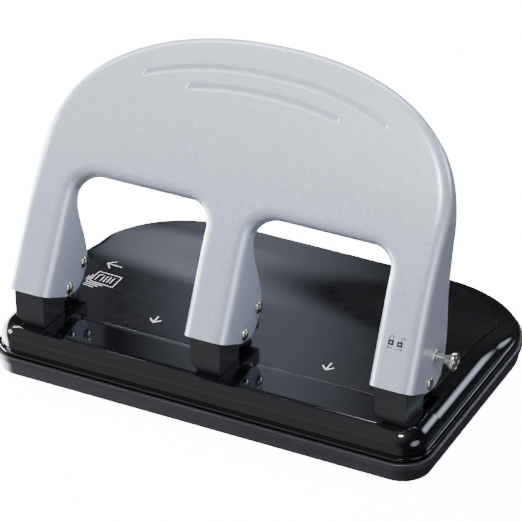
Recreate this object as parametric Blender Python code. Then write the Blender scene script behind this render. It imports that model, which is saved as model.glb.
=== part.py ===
"""Three-hole punch: a pressed steel lever on three punch heads, on a moulded base with a chip tray.

Frame: +X to the right, +Y to the back, where the paper lies, +Z up, in metres.
The origin is the centre of the chip tray's underside. Run with blender --background --python part.py.
"""

import bpy
import bmesh
import math
from mathutils import Matrix, Vector
from mathutils.geometry import delaunay_2d_cdt

MM = 0.001

# Clearances
GAP = 0.3 * MM               # between pieces that touch
RUNNING = 0.25 * MM          # a pin in its hole, on the radius

# Punching line
HOLE_PITCH = 107.95 * MM
HEAD_FACE = 11.2 * MM        # front of the tray to the front of the heads
ROD_SETBACK = 35.7 * MM      # front of the heads to the rods' axis
ROD_RADIUS = 3.57 * MM
STROKE_START = 0.5 * MM      # the rod's tip above the throat's roof
CROSSHEAD_WIDTH = 9.0 * MM
CROSSHEAD_WEB = 2.05 * MM    # above and below the drive pin's slot

# Chip tray
SIDE_MARGIN = 21.35 * MM     # the outer heads' middle to the side of the tray
TRAY_HALF_WIDTH = HOLE_PITCH + SIDE_MARGIN
TRAY_DEPTH = 175.9 * MM
TRAY_HEIGHT = 12.0 * MM
TRAY_WALL = 2.4 * MM
TRAY_FLARE = 1.9 * MM        # the lip stands this far outside the foot
TRAY_FOOT_ROUND = 1.5 * MM
TRAY_DRAFT = 1.2 * MM        # the inner wall leans in by this much towards the floor
FRONT_CORNER = 16.4 * MM
REAR_CORNER_X = 64.3 * MM
REAR_CORNER_Y = 50.0 * MM

# Base cover
FLANGE_HEIGHT = 2.0 * MM
BODY_INSET = 1.8 * MM        # the cover's wall stands this far inside its flange
LEDGE_TOP = 27.5 * MM
LEDGE_DEPTH = 32.5 * MM      # front of the tray to the back of the ledge
RIM_TOP = 26.2 * MM
RIM_DROP = 10.9 * MM         # the deck falls this far towards the back
DROP_START = 87.9 * MM       # distance from the front of the tray
DROP_LENGTH = 70.0 * MM
SHOULDER = 8.0 * MM
COVER_WALL = 2.4 * MM
COVER_ROOF = 22.3 * MM       # height of the cover's ceiling
SKIRT_DEPTH = 4.6 * MM
SKIRT_INSET = 3.4 * MM

# Paper plate
PLATE_INSET = 14.3 * MM      # at the sides
PLATE_BACK_INSET = 5.5 * MM
PLATE_THICKNESS = 1.6 * MM
PLATE_PROUD = 0.4 * MM

# Punch heads
HEAD_WIDTH = 17.8 * MM
HEAD_WALL = 2.0 * MM
HEAD_LENGTH = 45.2 * MM
HEAD_HEIGHT = 20.8 * MM
FOOT_LENGTH = 21.7 * MM
THROAT = 5.7 * MM
FLOOR = 2.0 * MM
FOOT_CHAMFER = 4.5 * MM
NOSE_HEIGHT = 8.0 * MM       # throat's roof to the nose's rear corner
NOSE_BEVEL = 3.0 * MM
CHEEK_ABOVE_PIVOT = 7.4 * MM
CHEEK_CREST = 6.0 * MM       # pivot to the back of the cheek's crest
HEAD_SHOULDER = 9.0 * MM     # front of the head to where its top starts to rise
SLOT_PLAY = 0.4 * MM         # round the drive pin in the head's slots and in the rod's

# Lever linkage, measured from the heads' front face and from the ledge
PIVOT_SETBACK = 21.3 * MM
PIVOT_RISE = 15.6 * MM
ARM = 17.9 * MM
ARM_ANGLE = math.radians(26.1)
SWING = math.radians(32.0)
PIVOT_RADIUS = 2.5 * MM
DRIVE_RADIUS = 2.2 * MM
RIVET_RADIUS = 3.5 * MM
RIVET_DOME = 1.35 * MM
SHORT_PIN_GAP = 1.4 * MM     # end of the right drive pin to the head's wall

# Lever
LEVER_LEAN = math.radians(27.0)
LEVER_STRAIGHT = 42.0 * MM   # the legs are flat up to here
LEVER_BEND_RADIUS = 229.0 * MM
LEVER_LENGTH = 166.9 * MM    # along the face
LEG_PLAY = 2.2 * MM          # head to the leg's wall on each side
LEG_TAPER = 0.022
DOME_START = 84.0 * MM
DOME_POWER = 2.17
DOME_STEPS = 44
ROW_STEP = 6.2 * MM          # between the points up a leg's edge
OPENING_TOP = 71.0 * MM
OPENING_CORNER = 13.0 * MM
SHEET = 1.4 * MM
LEG_WIDTH = HEAD_WIDTH + 2 * (LEG_PLAY + SHEET)
SHEET_BEND = 6.5 * MM
LIP_DEPTH = 12.0 * MM
FOOT_SETBACK = 7.9 * MM      # front of the tray to the foot of the lever
FOOT_RISE = 22.55 * MM       # ledge to the foot of the lever
LOBE_DEPTH = 39.5 * MM
LOBE_CENTRE = 18.0 * MM      # height of the lobe's deepest point up the leg
LOBE_FOOT = 24.0 * MM        # depth of the side walls at the foot
LOBE_END = 60.0 * MM         # the inner walls have run out to the lip's depth here
OUTER_STEP = 11.5 * MM       # the outer walls lose this much first, by the lobe's end
OUTER_FADE = (45.0 * MM, 118.0 * MM)     # and run out to the lip between these

# Lock
LOCK_ALONG = 19.2 * MM       # up the leg
LOCK_BEHIND = 25.9 * MM      # behind the face
LOCK_RADIUS = 2.3 * MM
LOCK_STAND_OFF = 0.85 * MM   # head's wall to the pin's tip with the lock open
LOCK_REACH = 11.9 * MM       # flange to the end of the knob
KNOB_RADIUS = 5.1 * MM
KNOB_LENGTH = 6.3 * MM
KNOB_RIM = 0.9 * MM
BUSH_WALL = 0.9 * MM
BUSH_COLLAR = 0.4 * MM
EAR_RADIUS = 5.0 * MM

# Return springs
WIRE = 1.2 * MM
COIL_RADIUS = 4.6 * MM
COIL_PITCH = 1.35 * MM
COIL_TURNS = 3

# Frame, dies and screws
FRAME_THICKNESS = 2.0 * MM
FRAME_DEPTH = 52.0 * MM
FRAME_SIDE_GAP = 10.0 * MM
FRAME_CORNER = 4.0 * MM
FRAME_SETBACK = 1.0 * MM     # front of the heads to the front of the frame
CHIP_HOLE_CLEARANCE = 1.5 * MM
DIE_RADIUS = 8.0 * MM
DIE_CLEARANCE = 0.18 * MM
SCREW_RADIUS = 1.6 * MM
SCREW_HEAD_RADIUS = 3.0 * MM
SCREW_HEAD = 2.0 * MM

# Places worked out from the sizes above
FRONT = -TRAY_DEPTH / 2
BACK = TRAY_DEPTH / 2
FLANGE_BOTTOM = TRAY_HEIGHT + 2 * GAP
FLANGE_TOP = FLANGE_BOTTOM + FLANGE_HEIGHT
LEDGE_BACK = FRONT + LEDGE_DEPTH
HEAD_FRONT = FRONT + HEAD_FACE
HEAD_BASE = LEDGE_TOP + GAP
HEAD_TOP = HEAD_BASE + HEAD_HEIGHT
NOSE_BASE = HEAD_BASE + THROAT
NOSE_FLOOR = NOSE_BASE + FLOOR
ROD_Y = HEAD_FRONT + ROD_SETBACK
PIVOT_Y = HEAD_FRONT + PIVOT_SETBACK
PIVOT_Z = LEDGE_TOP + PIVOT_RISE
DRIVE_Y = PIVOT_Y + ARM * math.cos(ARM_ANGLE)
DRIVE_Z = PIVOT_Z + ARM * math.sin(ARM_ANGLE)
DRIVE_LOW = PIVOT_Z + ARM * math.sin(ARM_ANGLE - SWING)
LEVER_Y = FRONT + FOOT_SETBACK
LEVER_Z = LEDGE_TOP + FOOT_RISE
LEVER_HALF_WIDTH = HOLE_PITCH + LEG_WIDTH / 2
PLATE_TOP = RIM_TOP + PLATE_PROUD
SIDES = {"left": -HOLE_PITCH, "centre": 0.0, "right": HOLE_PITCH}


# ---------------------------------------------------------------- helpers

def material(name, color, roughness, metallic):
    """A Principled material of one colour, shared by the pieces that use it."""
    made = bpy.data.materials.get(name)
    if made:
        return made
    made = bpy.data.materials.new(name)
    made.use_nodes = True
    shader = made.node_tree.nodes["Principled BSDF"]
    shader.inputs["Base Color"].default_value = (*color, 1.0)
    shader.inputs["Roughness"].default_value = roughness
    shader.inputs["Metallic"].default_value = metallic
    made.diffuse_color = (*color, 1.0)
    return made


def silver_paint():
    return material("silver_paint", (0.55, 0.56, 0.60), 0.35, 0.6)


def black_gloss():
    return material("black_gloss", (0.012, 0.012, 0.014), 0.08, 0.0)


def black_satin():
    return material("black_satin", (0.030, 0.030, 0.034), 0.38, 0.0)


def tray_plastic():
    return material("tray_plastic", (0.035, 0.035, 0.038), 0.55, 0.0)


def nickel():
    return material("nickel", (0.62, 0.60, 0.56), 0.20, 1.0)


def tool_steel():
    return material("tool_steel", (0.45, 0.45, 0.46), 0.28, 1.0)


def zinc_plate():
    return material("zinc_plate", (0.40, 0.41, 0.43), 0.40, 1.0)


def add_object(name, bm, finish):
    """Turn a bmesh into a named object with its faces outward and its round faces smooth."""
    bmesh.ops.remove_doubles(bm, verts=bm.verts, dist=0.00001)
    bmesh.ops.recalc_face_normals(bm, faces=bm.faces)
    mesh = bpy.data.meshes.new(name)
    bm.to_mesh(mesh)
    bm.free()
    mesh.shade_smooth()
    mesh.set_sharp_from_angle(angle=math.radians(35))
    made = bpy.data.objects.new(name, mesh)
    bpy.context.collection.objects.link(made)
    if finish:
        mesh.materials.append(finish)
    return made


def set_origin(made, point):
    """Move an object's origin to a point without moving its shape."""
    made.data.transform(Matrix.Translation(-Vector(point)))
    made.location = point


def prism(bm, outline, axis, low, high):
    """Extrude a flat outline between two places on an axis: X takes (y, z) points, Z takes (x, y)."""
    def place(point, height):
        return (height, *point) if axis == "X" else (*point, height)
    lower = [bm.verts.new(place(p, low)) for p in outline]
    upper = [bm.verts.new(place(p, high)) for p in outline]
    bm.faces.new(lower[::-1])
    bm.faces.new(upper)
    for i in range(len(outline)):
        j = (i + 1) % len(outline)
        bm.faces.new((lower[i], lower[j], upper[j], upper[i]))


def turned(bm, profile, centre, axis, steps):
    """Turn a profile of (radius, distance along the axis) about an axis through a centre.

    A profile that starts and ends at radius 0 gives a solid, and a closed one gives a ring.
    """
    spin = {"X": lambda r, h, a: (h, r * math.cos(a), r * math.sin(a)),
            "Z": lambda r, h, a: (r * math.cos(a), r * math.sin(a), h)}[axis]
    rings = []
    for radius, height in profile:
        count = steps if radius > 0 else 1
        ring = [bm.verts.new(Vector(centre) + Vector(spin(radius, height, 2 * math.pi * k / steps)))
                for k in range(count)]
        rings.append(ring)
    closed = profile[0][0] > 0
    pairs = list(zip(rings, rings[1:]))
    if closed:
        pairs.append((rings[-1], rings[0]))
    for a, b in pairs:
        for k in range(steps):
            n = (k + 1) % steps
            corners = [a[k % len(a)], a[n % len(a)], b[n % len(b)], b[k % len(b)]]
            bm.faces.new(list(dict.fromkeys(corners)))


def cylinder(bm, radius, low, high, centre, axis, steps=24):
    turned(bm, [(0, low), (radius, low), (radius, high), (0, high)], centre, axis, steps)


def cutter(name, bm):
    """A shape that only cuts others."""
    made = add_object(name, bm, None)
    made.hide_render = True
    made.display_type = "WIRE"
    return made


def combine(target, other, operation):
    step = target.modifiers.new(other.name, "BOOLEAN")
    step.operation = operation
    step.solver = "EXACT"
    step.object = other


def bridge(bm, ring_a, ring_b):
    """Join two rings of the same number of points with faces."""
    for i in range(len(ring_a)):
        j = (i + 1) % len(ring_a)
        bm.faces.new((ring_a[i], ring_a[j], ring_b[j], ring_b[i]))


def arc(centre, radius, start, end, steps):
    """Points along an arc in degrees, both ends included. The radius may be a pair."""
    rx, ry = radius if isinstance(radius, tuple) else (radius, radius)
    points = []
    for k in range(steps + 1):
        a = math.radians(start + (end - start) * k / steps)
        points.append((centre[0] + rx * math.cos(a), centre[1] + ry * math.sin(a)))
    return points


# ---------------------------------------------------------------- base

def half_plan(inset, start=None, back_inset=None):
    """The right half of the base's outline, from its front corner to its back, moved inwards.

    With a start, the outline begins there and goes straight back. With a back inset, the back edge
    moves by that instead.
    """
    edge = TRAY_HALF_WIDTH - inset
    back_inset = inset if back_inset is None else back_inset
    points = []
    if start is None:
        middle = (TRAY_HALF_WIDTH - FRONT_CORNER, FRONT + FRONT_CORNER)
        points += arc(middle, FRONT_CORNER - inset, -90, 0, 6)
        points += [(edge, LEDGE_BACK - GAP / 2), (edge, LEDGE_BACK + GAP / 2)]
    else:
        points += [(edge, start)]
    turn = BACK - REAR_CORNER_Y
    drop = FRONT + DROP_START
    points += [(edge, y) for y in (drop, (drop + turn) / 2) if points[-1][1] < y < turn]
    points += arc((TRAY_HALF_WIDTH - REAR_CORNER_X, turn),
                  (REAR_CORNER_X - inset, REAR_CORNER_Y - back_inset), 0, 90, 10)
    return points


def deck_height(y):
    """Height of the rim behind the ledge: level, then falling smoothly towards the back."""
    s = min(max((y - FRONT - DROP_START) / DROP_LENGTH, 0.0), 1.0)
    return RIM_TOP - RIM_DROP * s * s * (3 - 2 * s)


def cover_height(y):
    return LEDGE_TOP if y < LEDGE_BACK else deck_height(y)


def ring_of(bm, half, height):
    """A whole ring from the right half outline; height is a number or a function of y."""
    level = height if callable(height) else lambda y: height
    right = [bm.verts.new((x, y, level(y))) for x, y in half]
    left = [bm.verts.new((-x, y, level(y))) for x, y in half]
    return right + left[::-1]


def cap_across(bm, ring):
    """Close a ring with strips that run from side to side."""
    count = len(ring) // 2
    left = ring[::-1]
    for i in range(count - 1):
        bm.faces.new((ring[i], ring[i + 1], left[i + 1], left[i]))


def make_tray():
    inner_foot = TRAY_WALL + TRAY_DRAFT
    levels = [(TRAY_FOOT_ROUND, 0.0), (0.0, TRAY_FOOT_ROUND), (-TRAY_FLARE, TRAY_HEIGHT),
              (TRAY_WALL - TRAY_FLARE, TRAY_HEIGHT), (inner_foot, TRAY_WALL)]
    bm = bmesh.new()
    rings = [ring_of(bm, half_plan(inset), z) for inset, z in levels]
    for lower, upper in zip(rings, rings[1:]):
        bridge(bm, lower, upper)
    cap_across(bm, rings[0])
    cap_across(bm, rings[-1])
    return add_object("chip_tray", bm, tray_plastic())


def shoulder_radius(y):
    return min(SHOULDER, cover_height(y) - FLANGE_TOP - GAP)


def shoulder_ring(bm, angle):
    """One ring of the rounded shoulder; the angle is 0 on the wall and 90 degrees on top."""
    right = []
    for (x0, y0), (x1, y1) in zip(half_plan(BODY_INSET), half_plan(BODY_INSET + SHOULDER)):
        radius = shoulder_radius(y0)
        t = radius * (1 - math.cos(angle)) / SHOULDER
        z = cover_height(y0) - radius * (1 - math.sin(angle))
        right.append((x0 + (x1 - x0) * t, y0 + (y1 - y0) * t, z))
    points = [bm.verts.new(p) for p in right]
    points += [bm.verts.new((-x, y, z)) for x, y, z in reversed(right)]
    return points


def ceiling(y):
    return min(COVER_ROOF, deck_height(y) - PLATE_THICKNESS - COVER_WALL)


def make_cover():
    bm = bmesh.new()
    skirt_foot = FLANGE_BOTTOM - SKIRT_DEPTH
    skirt_inner = SKIRT_INSET + COVER_WALL
    outside = [ring_of(bm, half_plan(skirt_inner), skirt_foot),
               ring_of(bm, half_plan(SKIRT_INSET), skirt_foot),
               ring_of(bm, half_plan(SKIRT_INSET), FLANGE_BOTTOM),
               ring_of(bm, half_plan(0.0), FLANGE_BOTTOM),
               ring_of(bm, half_plan(0.0), FLANGE_TOP),
               ring_of(bm, half_plan(BODY_INSET), FLANGE_TOP)]
    outside += [shoulder_ring(bm, math.radians(a)) for a in (0, 22.5, 45, 67.5, 90)]
    for lower, upper in zip(outside, outside[1:]):
        bridge(bm, lower, upper)
    cap_across(bm, outside[-1])
    roof_inset = BODY_INSET + SHOULDER
    inside = [ring_of(bm, half_plan(skirt_inner), lambda y: min(FLANGE_TOP, ceiling(y)) - GAP),
              ring_of(bm, half_plan(roof_inset), ceiling)]
    bridge(bm, outside[0], inside[0])
    bridge(bm, inside[0], inside[1])
    cap_across(bm, inside[-1])
    cover = add_object("base_cover", bm, black_gloss())

    recess = bmesh.new()
    half = half_plan(PLATE_INSET - GAP, LEDGE_BACK, PLATE_BACK_INSET - GAP)
    floor = ring_of(recess, half, lambda y: deck_height(y) + PLATE_PROUD - PLATE_THICKNESS - GAP)
    above = ring_of(recess, half, lambda y: deck_height(y) + 5 * MM)
    bridge(recess, floor, above)
    cap_across(recess, floor)
    cap_across(recess, above)
    combine(cover, cutter("plate_recess", recess), "DIFFERENCE")

    holes = bmesh.new()
    for x in SIDES.values():
        cylinder(holes, DIE_RADIUS + GAP, 0.0, LEDGE_TOP, (x, ROD_Y, 0), "Z", 24)
    for x, y in head_screw_places():
        cylinder(holes, SCREW_RADIUS + GAP, 0.0, LEDGE_TOP + GAP, (x, y, 0), "Z", 8)
    for x, y in frame_screw_places():
        cylinder(holes, SCREW_RADIUS + GAP, 0.0, LEDGE_TOP - 1.5 * MM, (x, y, 0), "Z", 8)
    combine(cover, cutter("cover_holes", holes), "DIFFERENCE")
    return cover


def make_paper_plate():
    bm = bmesh.new()
    half = half_plan(PLATE_INSET, LEDGE_BACK + GAP, PLATE_BACK_INSET)
    under = ring_of(bm, half, lambda y: deck_height(y) + PLATE_PROUD - PLATE_THICKNESS)
    top = ring_of(bm, half, lambda y: deck_height(y) + PLATE_PROUD)
    bridge(bm, under, top)
    cap_across(bm, under)
    cap_across(bm, top)
    plate = add_object("paper_plate", bm, black_gloss())
    holes = bmesh.new()
    for x in SIDES.values():
        cylinder(holes, DIE_RADIUS + GAP, 0.0, LEDGE_TOP, (x, ROD_Y, 0), "Z", 24)
    combine(plate, cutter("plate_holes", holes), "DIFFERENCE")
    return plate


def head_screw_places():
    """Two screws up into the foot of each head."""
    setbacks = (0.32 * FOOT_LENGTH, 0.74 * FOOT_LENGTH)
    return [(x, HEAD_FRONT + s) for x in SIDES.values() for s in setbacks]


def frame_screw_places():
    """Four screws that hold the frame to the cover, between the heads."""
    y = HEAD_FRONT + FOOT_LENGTH / 2
    return [(side * HOLE_PITCH * share, y) for side in (-1, 1) for share in (0.27, 0.73)]


def make_frame():
    top = COVER_ROOF - GAP
    half_width = TRAY_HALF_WIDTH - FRAME_SIDE_GAP
    front = HEAD_FRONT + FRAME_SETBACK
    corner = FRAME_CORNER
    outline = []
    for sx, y, start in ((1, front, -90), (1, front + FRAME_DEPTH, 0),
                         (-1, front + FRAME_DEPTH, 90), (-1, front, 180)):
        inward = corner if y == front else -corner
        outline += arc((sx * (half_width - corner), y + inward), corner, start, start + 90, 3)
    bm = bmesh.new()
    prism(bm, outline, "Z", top - FRAME_THICKNESS, top)
    frame = add_object("base_frame", bm, zinc_plate())
    holes = bmesh.new()
    for x in SIDES.values():
        cylinder(holes, ROD_RADIUS + CHIP_HOLE_CLEARANCE, 0.0, LEDGE_TOP, (x, ROD_Y, 0), "Z", 16)
    for x, y in head_screw_places() + frame_screw_places():
        cylinder(holes, SCREW_RADIUS + GAP, 0.0, LEDGE_TOP, (x, y, 0), "Z", 8)
    combine(frame, cutter("frame_holes", holes), "DIFFERENCE")
    return frame


def make_screws(name, places, tip):
    """Numbered pan-head screws with their heads against the frame's underside."""
    seat = COVER_ROOF - GAP - FRAME_THICKNESS - GAP
    profile = [(0, seat - SCREW_HEAD), (0.7 * SCREW_HEAD_RADIUS, seat - SCREW_HEAD),
               (SCREW_HEAD_RADIUS, seat - 0.6 * SCREW_HEAD), (SCREW_HEAD_RADIUS, seat),
               (SCREW_RADIUS, seat), (SCREW_RADIUS, tip - SCREW_RADIUS), (0, tip)]
    for number, (x, y) in enumerate(places, 1):
        bm = bmesh.new()
        turned(bm, profile, (x, y, 0), "Z", 8)
        screw = add_object(f"{name}_{number}", bm, zinc_plate())
        set_origin(screw, (x, y, seat))


def make_die(side, x):
    """A hardened ring flush with the paper plate."""
    bore = ROD_RADIUS + DIE_CLEARANCE
    profile = [(bore, COVER_ROOF), (DIE_RADIUS, COVER_ROOF), (DIE_RADIUS, PLATE_TOP), (bore, PLATE_TOP)]
    bm = bmesh.new()
    turned(bm, profile, (x, ROD_Y, 0), "Z", 24)
    return add_object("die_" + side, bm, tool_steel())


# ---------------------------------------------------------------- heads

def swung(along_y, up_z, angle):
    """A point given from the pivot, after the lever has swung down by an angle, in world y and z."""
    c, s = math.cos(angle), math.sin(angle)
    return PIVOT_Y + c * along_y + s * up_z, PIVOT_Z - s * along_y + c * up_z


def lever_point(along, behind):
    """World y and z of a point on a leg: along the face from its foot, and behind the face."""
    c, s = math.cos(LEVER_LEAN), math.sin(LEVER_LEAN)
    return LEVER_Y + along * s + behind * c, LEVER_Z + along * c - behind * s


def make_head(side, x):
    """A channel with a solid foot, two cheeks and a thin floor that guides the rod."""
    front, base, rear = HEAD_FRONT, HEAD_BASE, HEAD_FRONT + HEAD_LENGTH
    foot_back = front + FOOT_LENGTH
    cheek = [(front, base), (foot_back, base), (foot_back, NOSE_BASE), (rear, NOSE_BASE),
             (rear, NOSE_BASE + NOSE_HEIGHT), (rear - NOSE_BEVEL, NOSE_BASE + NOSE_HEIGHT + NOSE_BEVEL),
             (PIVOT_Y + CHEEK_CREST, PIVOT_Z + CHEEK_ABOVE_PIVOT), (PIVOT_Y, PIVOT_Z + CHEEK_ABOVE_PIVOT),
             (front + HEAD_SHOULDER, HEAD_TOP), (front, HEAD_TOP)]
    half = HEAD_WIDTH / 2
    bm = bmesh.new()
    prism(bm, cheek, "X", x - half, x + half)
    head = add_object("punch_head_" + side, bm, black_satin())

    inner = half - HEAD_WALL
    high = PIVOT_Z + ARM + HEAD_HEIGHT
    cuts = bmesh.new()
    prism(cuts, [(front + HEAD_WALL, NOSE_FLOOR), (rear + GAP, NOSE_FLOOR), (rear + GAP, high),
                 (front + HEAD_WALL, high)], "X", x - inner, x + inner)
    if side == "right":
        ear_y, ear_z = lock_seat()
        ear = bmesh.new()
        cylinder(ear, EAR_RADIUS, x + inner, x + half, (0, ear_y, ear_z), "X", 16)
        combine(head, cutter("lock_ear", ear), "UNION")
    combine(head, cutter("channel_" + side, cuts), "DIFFERENCE")

    slot_front = DRIVE_Y - DRIVE_RADIUS - SLOT_PLAY
    slot_back = PIVOT_Y + ARM + DRIVE_RADIUS + SLOT_PLAY
    slot_floor = DRIVE_LOW - DRIVE_RADIUS - SLOT_PLAY
    slot_right = x if side == "right" else x + half + GAP
    slot = bmesh.new()
    prism(slot, [(slot_front, slot_floor), (slot_back, slot_floor), (slot_back, high),
                 (slot_front, high)], "X", x - half - GAP, slot_right)
    combine(head, cutter("pin_slot_" + side, slot), "DIFFERENCE")

    holes = bmesh.new()
    cylinder(holes, PIVOT_RADIUS + RUNNING, x - 2 * half, x + 2 * half, (0, PIVOT_Y, PIVOT_Z), "X", 16)
    cylinder(holes, ROD_RADIUS + RUNNING, NOSE_BASE - GAP, NOSE_FLOOR + GAP, (x, ROD_Y, 0), "Z", 24)
    combine(head, cutter("head_holes_" + side, holes), "DIFFERENCE")
    more = bmesh.new()
    for sx, sy in head_screw_places():
        if sx == x:
            cylinder(more, SCREW_RADIUS + GAP, base - GAP, NOSE_BASE - GAP, (sx, sy, 0), "Z", 8)
    edge = FOOT_CHAMFER
    low = base - GAP
    chamfer = [(x - half - edge, low - edge), (x - half + edge + GAP, low),
               (x - half - GAP, low + edge + GAP), (x - half - edge, low + edge)]
    front_verts = [more.verts.new((px, front - GAP, pz)) for px, pz in chamfer]
    back_verts = [more.verts.new((px, foot_back + GAP, pz)) for px, pz in chamfer]
    more.faces.new(front_verts)
    more.faces.new(back_verts[::-1])
    bridge(more, front_verts, back_verts)
    if side == "right":
        cylinder(more, LOCK_RADIUS + SLOT_PLAY, x + inner - GAP, x + half + GAP, (0, ear_y, ear_z), "X", 14)
    combine(head, cutter("foot_cuts_" + side, more), "DIFFERENCE")
    return head


def lock_seat():
    """Where the lock pin's axis is, in y and z, with the lever down."""
    y, z = lever_point(LOCK_ALONG, LOCK_BEHIND)
    return swung(y - PIVOT_Y, z - PIVOT_Z, SWING)


def rivet(bm, low, high, centre, radius, dome_low=True, dome_high=True):
    """A rivet along X with a domed head outside each of the two places."""
    profile = [(0, low), (radius, low), (radius, high), (0, high)]
    if dome_low:
        profile[:2] = [(0, low - RIVET_DOME), (0.62 * RIVET_RADIUS, low - 0.75 * RIVET_DOME),
                       (RIVET_RADIUS, low - 0.15 * RIVET_DOME), (RIVET_RADIUS, low), (radius, low)]
    if dome_high:
        profile[-2:] = [(radius, high), (RIVET_RADIUS, high), (RIVET_RADIUS, high + 0.15 * RIVET_DOME),
                        (0.62 * RIVET_RADIUS, high + 0.75 * RIVET_DOME), (0, high + RIVET_DOME)]
    turned(bm, profile, centre, "X", 14)


def leg_centre(x, y, z):
    """The middle of a leg at a point behind it: the outer legs lean inwards as they rise."""
    along = (y - LEVER_Y) * math.sin(LEVER_LEAN) + (z - LEVER_Z) * math.cos(LEVER_LEAN)
    return x - math.copysign(LEG_TAPER * along, x) if x else x


def make_pivot_pin(side, x):
    reach = LEG_WIDTH / 2 + GAP
    middle = leg_centre(x, PIVOT_Y, PIVOT_Z)
    bm = bmesh.new()
    rivet(bm, middle - reach, middle + reach, (0, PIVOT_Y, PIVOT_Z), PIVOT_RADIUS)
    return add_object("pivot_pin_" + side, bm, nickel())


def make_drive_pin(side, x):
    """It presses the rod down. The right one stops inside the head, clear of the lock."""
    reach = LEG_WIDTH / 2 + GAP
    middle = leg_centre(x, DRIVE_Y, DRIVE_Z)
    short = side == "right"
    high = x + HEAD_WIDTH / 2 - HEAD_WALL - SHORT_PIN_GAP if short else middle + reach
    bm = bmesh.new()
    rivet(bm, middle - reach, high, (0, DRIVE_Y, DRIVE_Z), DRIVE_RADIUS, True, not short)
    pin = add_object("drive_pin_" + side, bm, nickel())
    set_origin(pin, (x, PIVOT_Y, PIVOT_Z))
    return pin


def make_rod(side, x):
    """A punch rod with a slotted crosshead that the drive pin runs through."""
    tip = NOSE_BASE + STROKE_START
    web = CROSSHEAD_WEB
    slot_low = DRIVE_Z - DRIVE_RADIUS - SLOT_PLAY
    slot_high = DRIVE_Z + DRIVE_RADIUS + SLOT_PLAY
    slot_front = DRIVE_Y - DRIVE_RADIUS - SLOT_PLAY
    slot_back = PIVOT_Y + ARM + DRIVE_RADIUS + SLOT_PLAY
    front = ROD_Y - ROD_RADIUS - RUNNING
    back = slot_back + 0.8 * web
    half = CROSSHEAD_WIDTH / 2
    bm = bmesh.new()
    turned(bm, [(0, tip), (ROD_RADIUS, tip), (ROD_RADIUS, slot_low - web / 2), (0, slot_low - web / 2)],
           (x, ROD_Y, 0), "Z", 24)
    rod = add_object("punch_rod_" + side, bm, tool_steel())
    block = bmesh.new()
    prism(block, [(front, slot_low - web), (back, slot_low - web), (back, slot_high + web),
                  (front, slot_high + web)], "X", x - half, x + half)
    combine(rod, cutter("crosshead_" + side, block), "UNION")
    slot = bmesh.new()
    middle = (slot_low + slot_high) / 2
    radius = (slot_high - slot_low) / 2
    outline = arc((slot_back - radius, middle), radius, -90, 90, 8)
    outline += arc((slot_front + radius, middle), radius, 90, 270, 8)
    prism(slot, outline, "X", x - 2 * half, x + 2 * half)
    combine(rod, cutter("rod_slot_" + side, slot), "DIFFERENCE")
    set_origin(rod, (x, ROD_Y, tip))
    return rod


def sweep(bm, points, radius, sides):
    """A round wire along points, with flat ends."""
    rings = []
    normal = Vector((1, 0, 0))
    for k, point in enumerate(points):
        before = points[max(k - 1, 0)]
        after = points[min(k + 1, len(points) - 1)]
        ahead = (after - before).normalized()
        normal = (normal - ahead * normal.dot(ahead)).normalized()
        other = ahead.cross(normal)
        ring = []
        for n in range(sides):
            a = 2 * math.pi * n / sides
            ring.append(bm.verts.new(point + radius * (math.cos(a) * normal + math.sin(a) * other)))
        rings.append(ring)
    for a, b in zip(rings, rings[1:]):
        bridge(bm, a, b)
    bm.faces.new(rings[0][::-1])
    bm.faces.new(rings[-1])


def make_spring(side, x):
    """A torsion spring on the pivot pin: one leg on the head's floor, one under the drive pin."""
    start_x = x + HEAD_WIDTH / 2 - HEAD_WALL - WIRE - (COIL_TURNS + 0.5) * COIL_PITCH
    lift = DRIVE_Z - DRIVE_RADIUS - WIRE / 2 - 0.8 * GAP
    rest = NOSE_FLOOR + WIRE / 2 + 0.8 * GAP
    points = [Vector((start_x, ROD_Y - ROD_RADIUS - 2.0 * MM, rest)),
              Vector((start_x, PIVOT_Y + 0.6 * COIL_RADIUS, (PIVOT_Z - COIL_RADIUS + rest) / 2 + WIRE / 2))]
    steps = 10
    total = int((COIL_TURNS + 0.5) * steps)
    for k in range(total + 1):
        a = math.radians(-90 - 360 * k / steps)
        along = start_x + COIL_PITCH * k / steps
        points.append(Vector((along, PIVOT_Y + COIL_RADIUS * math.cos(a),
                              PIVOT_Z + COIL_RADIUS * math.sin(a))))
    end_x = points[-1].x
    points.append(Vector((end_x, DRIVE_Y, lift)))
    points.append(Vector((end_x, DRIVE_Y + 2.2 * MM, lift)))
    bm = bmesh.new()
    sweep(bm, points, WIRE / 2, 6)
    return add_object("return_spring_" + side, bm, tool_steel())


# ---------------------------------------------------------------- lever

def leg_edge(x, along):
    """The x of a leg's edge, which leans towards the middle as it rises."""
    return x - math.copysign(LEG_TAPER * along, x)


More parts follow.
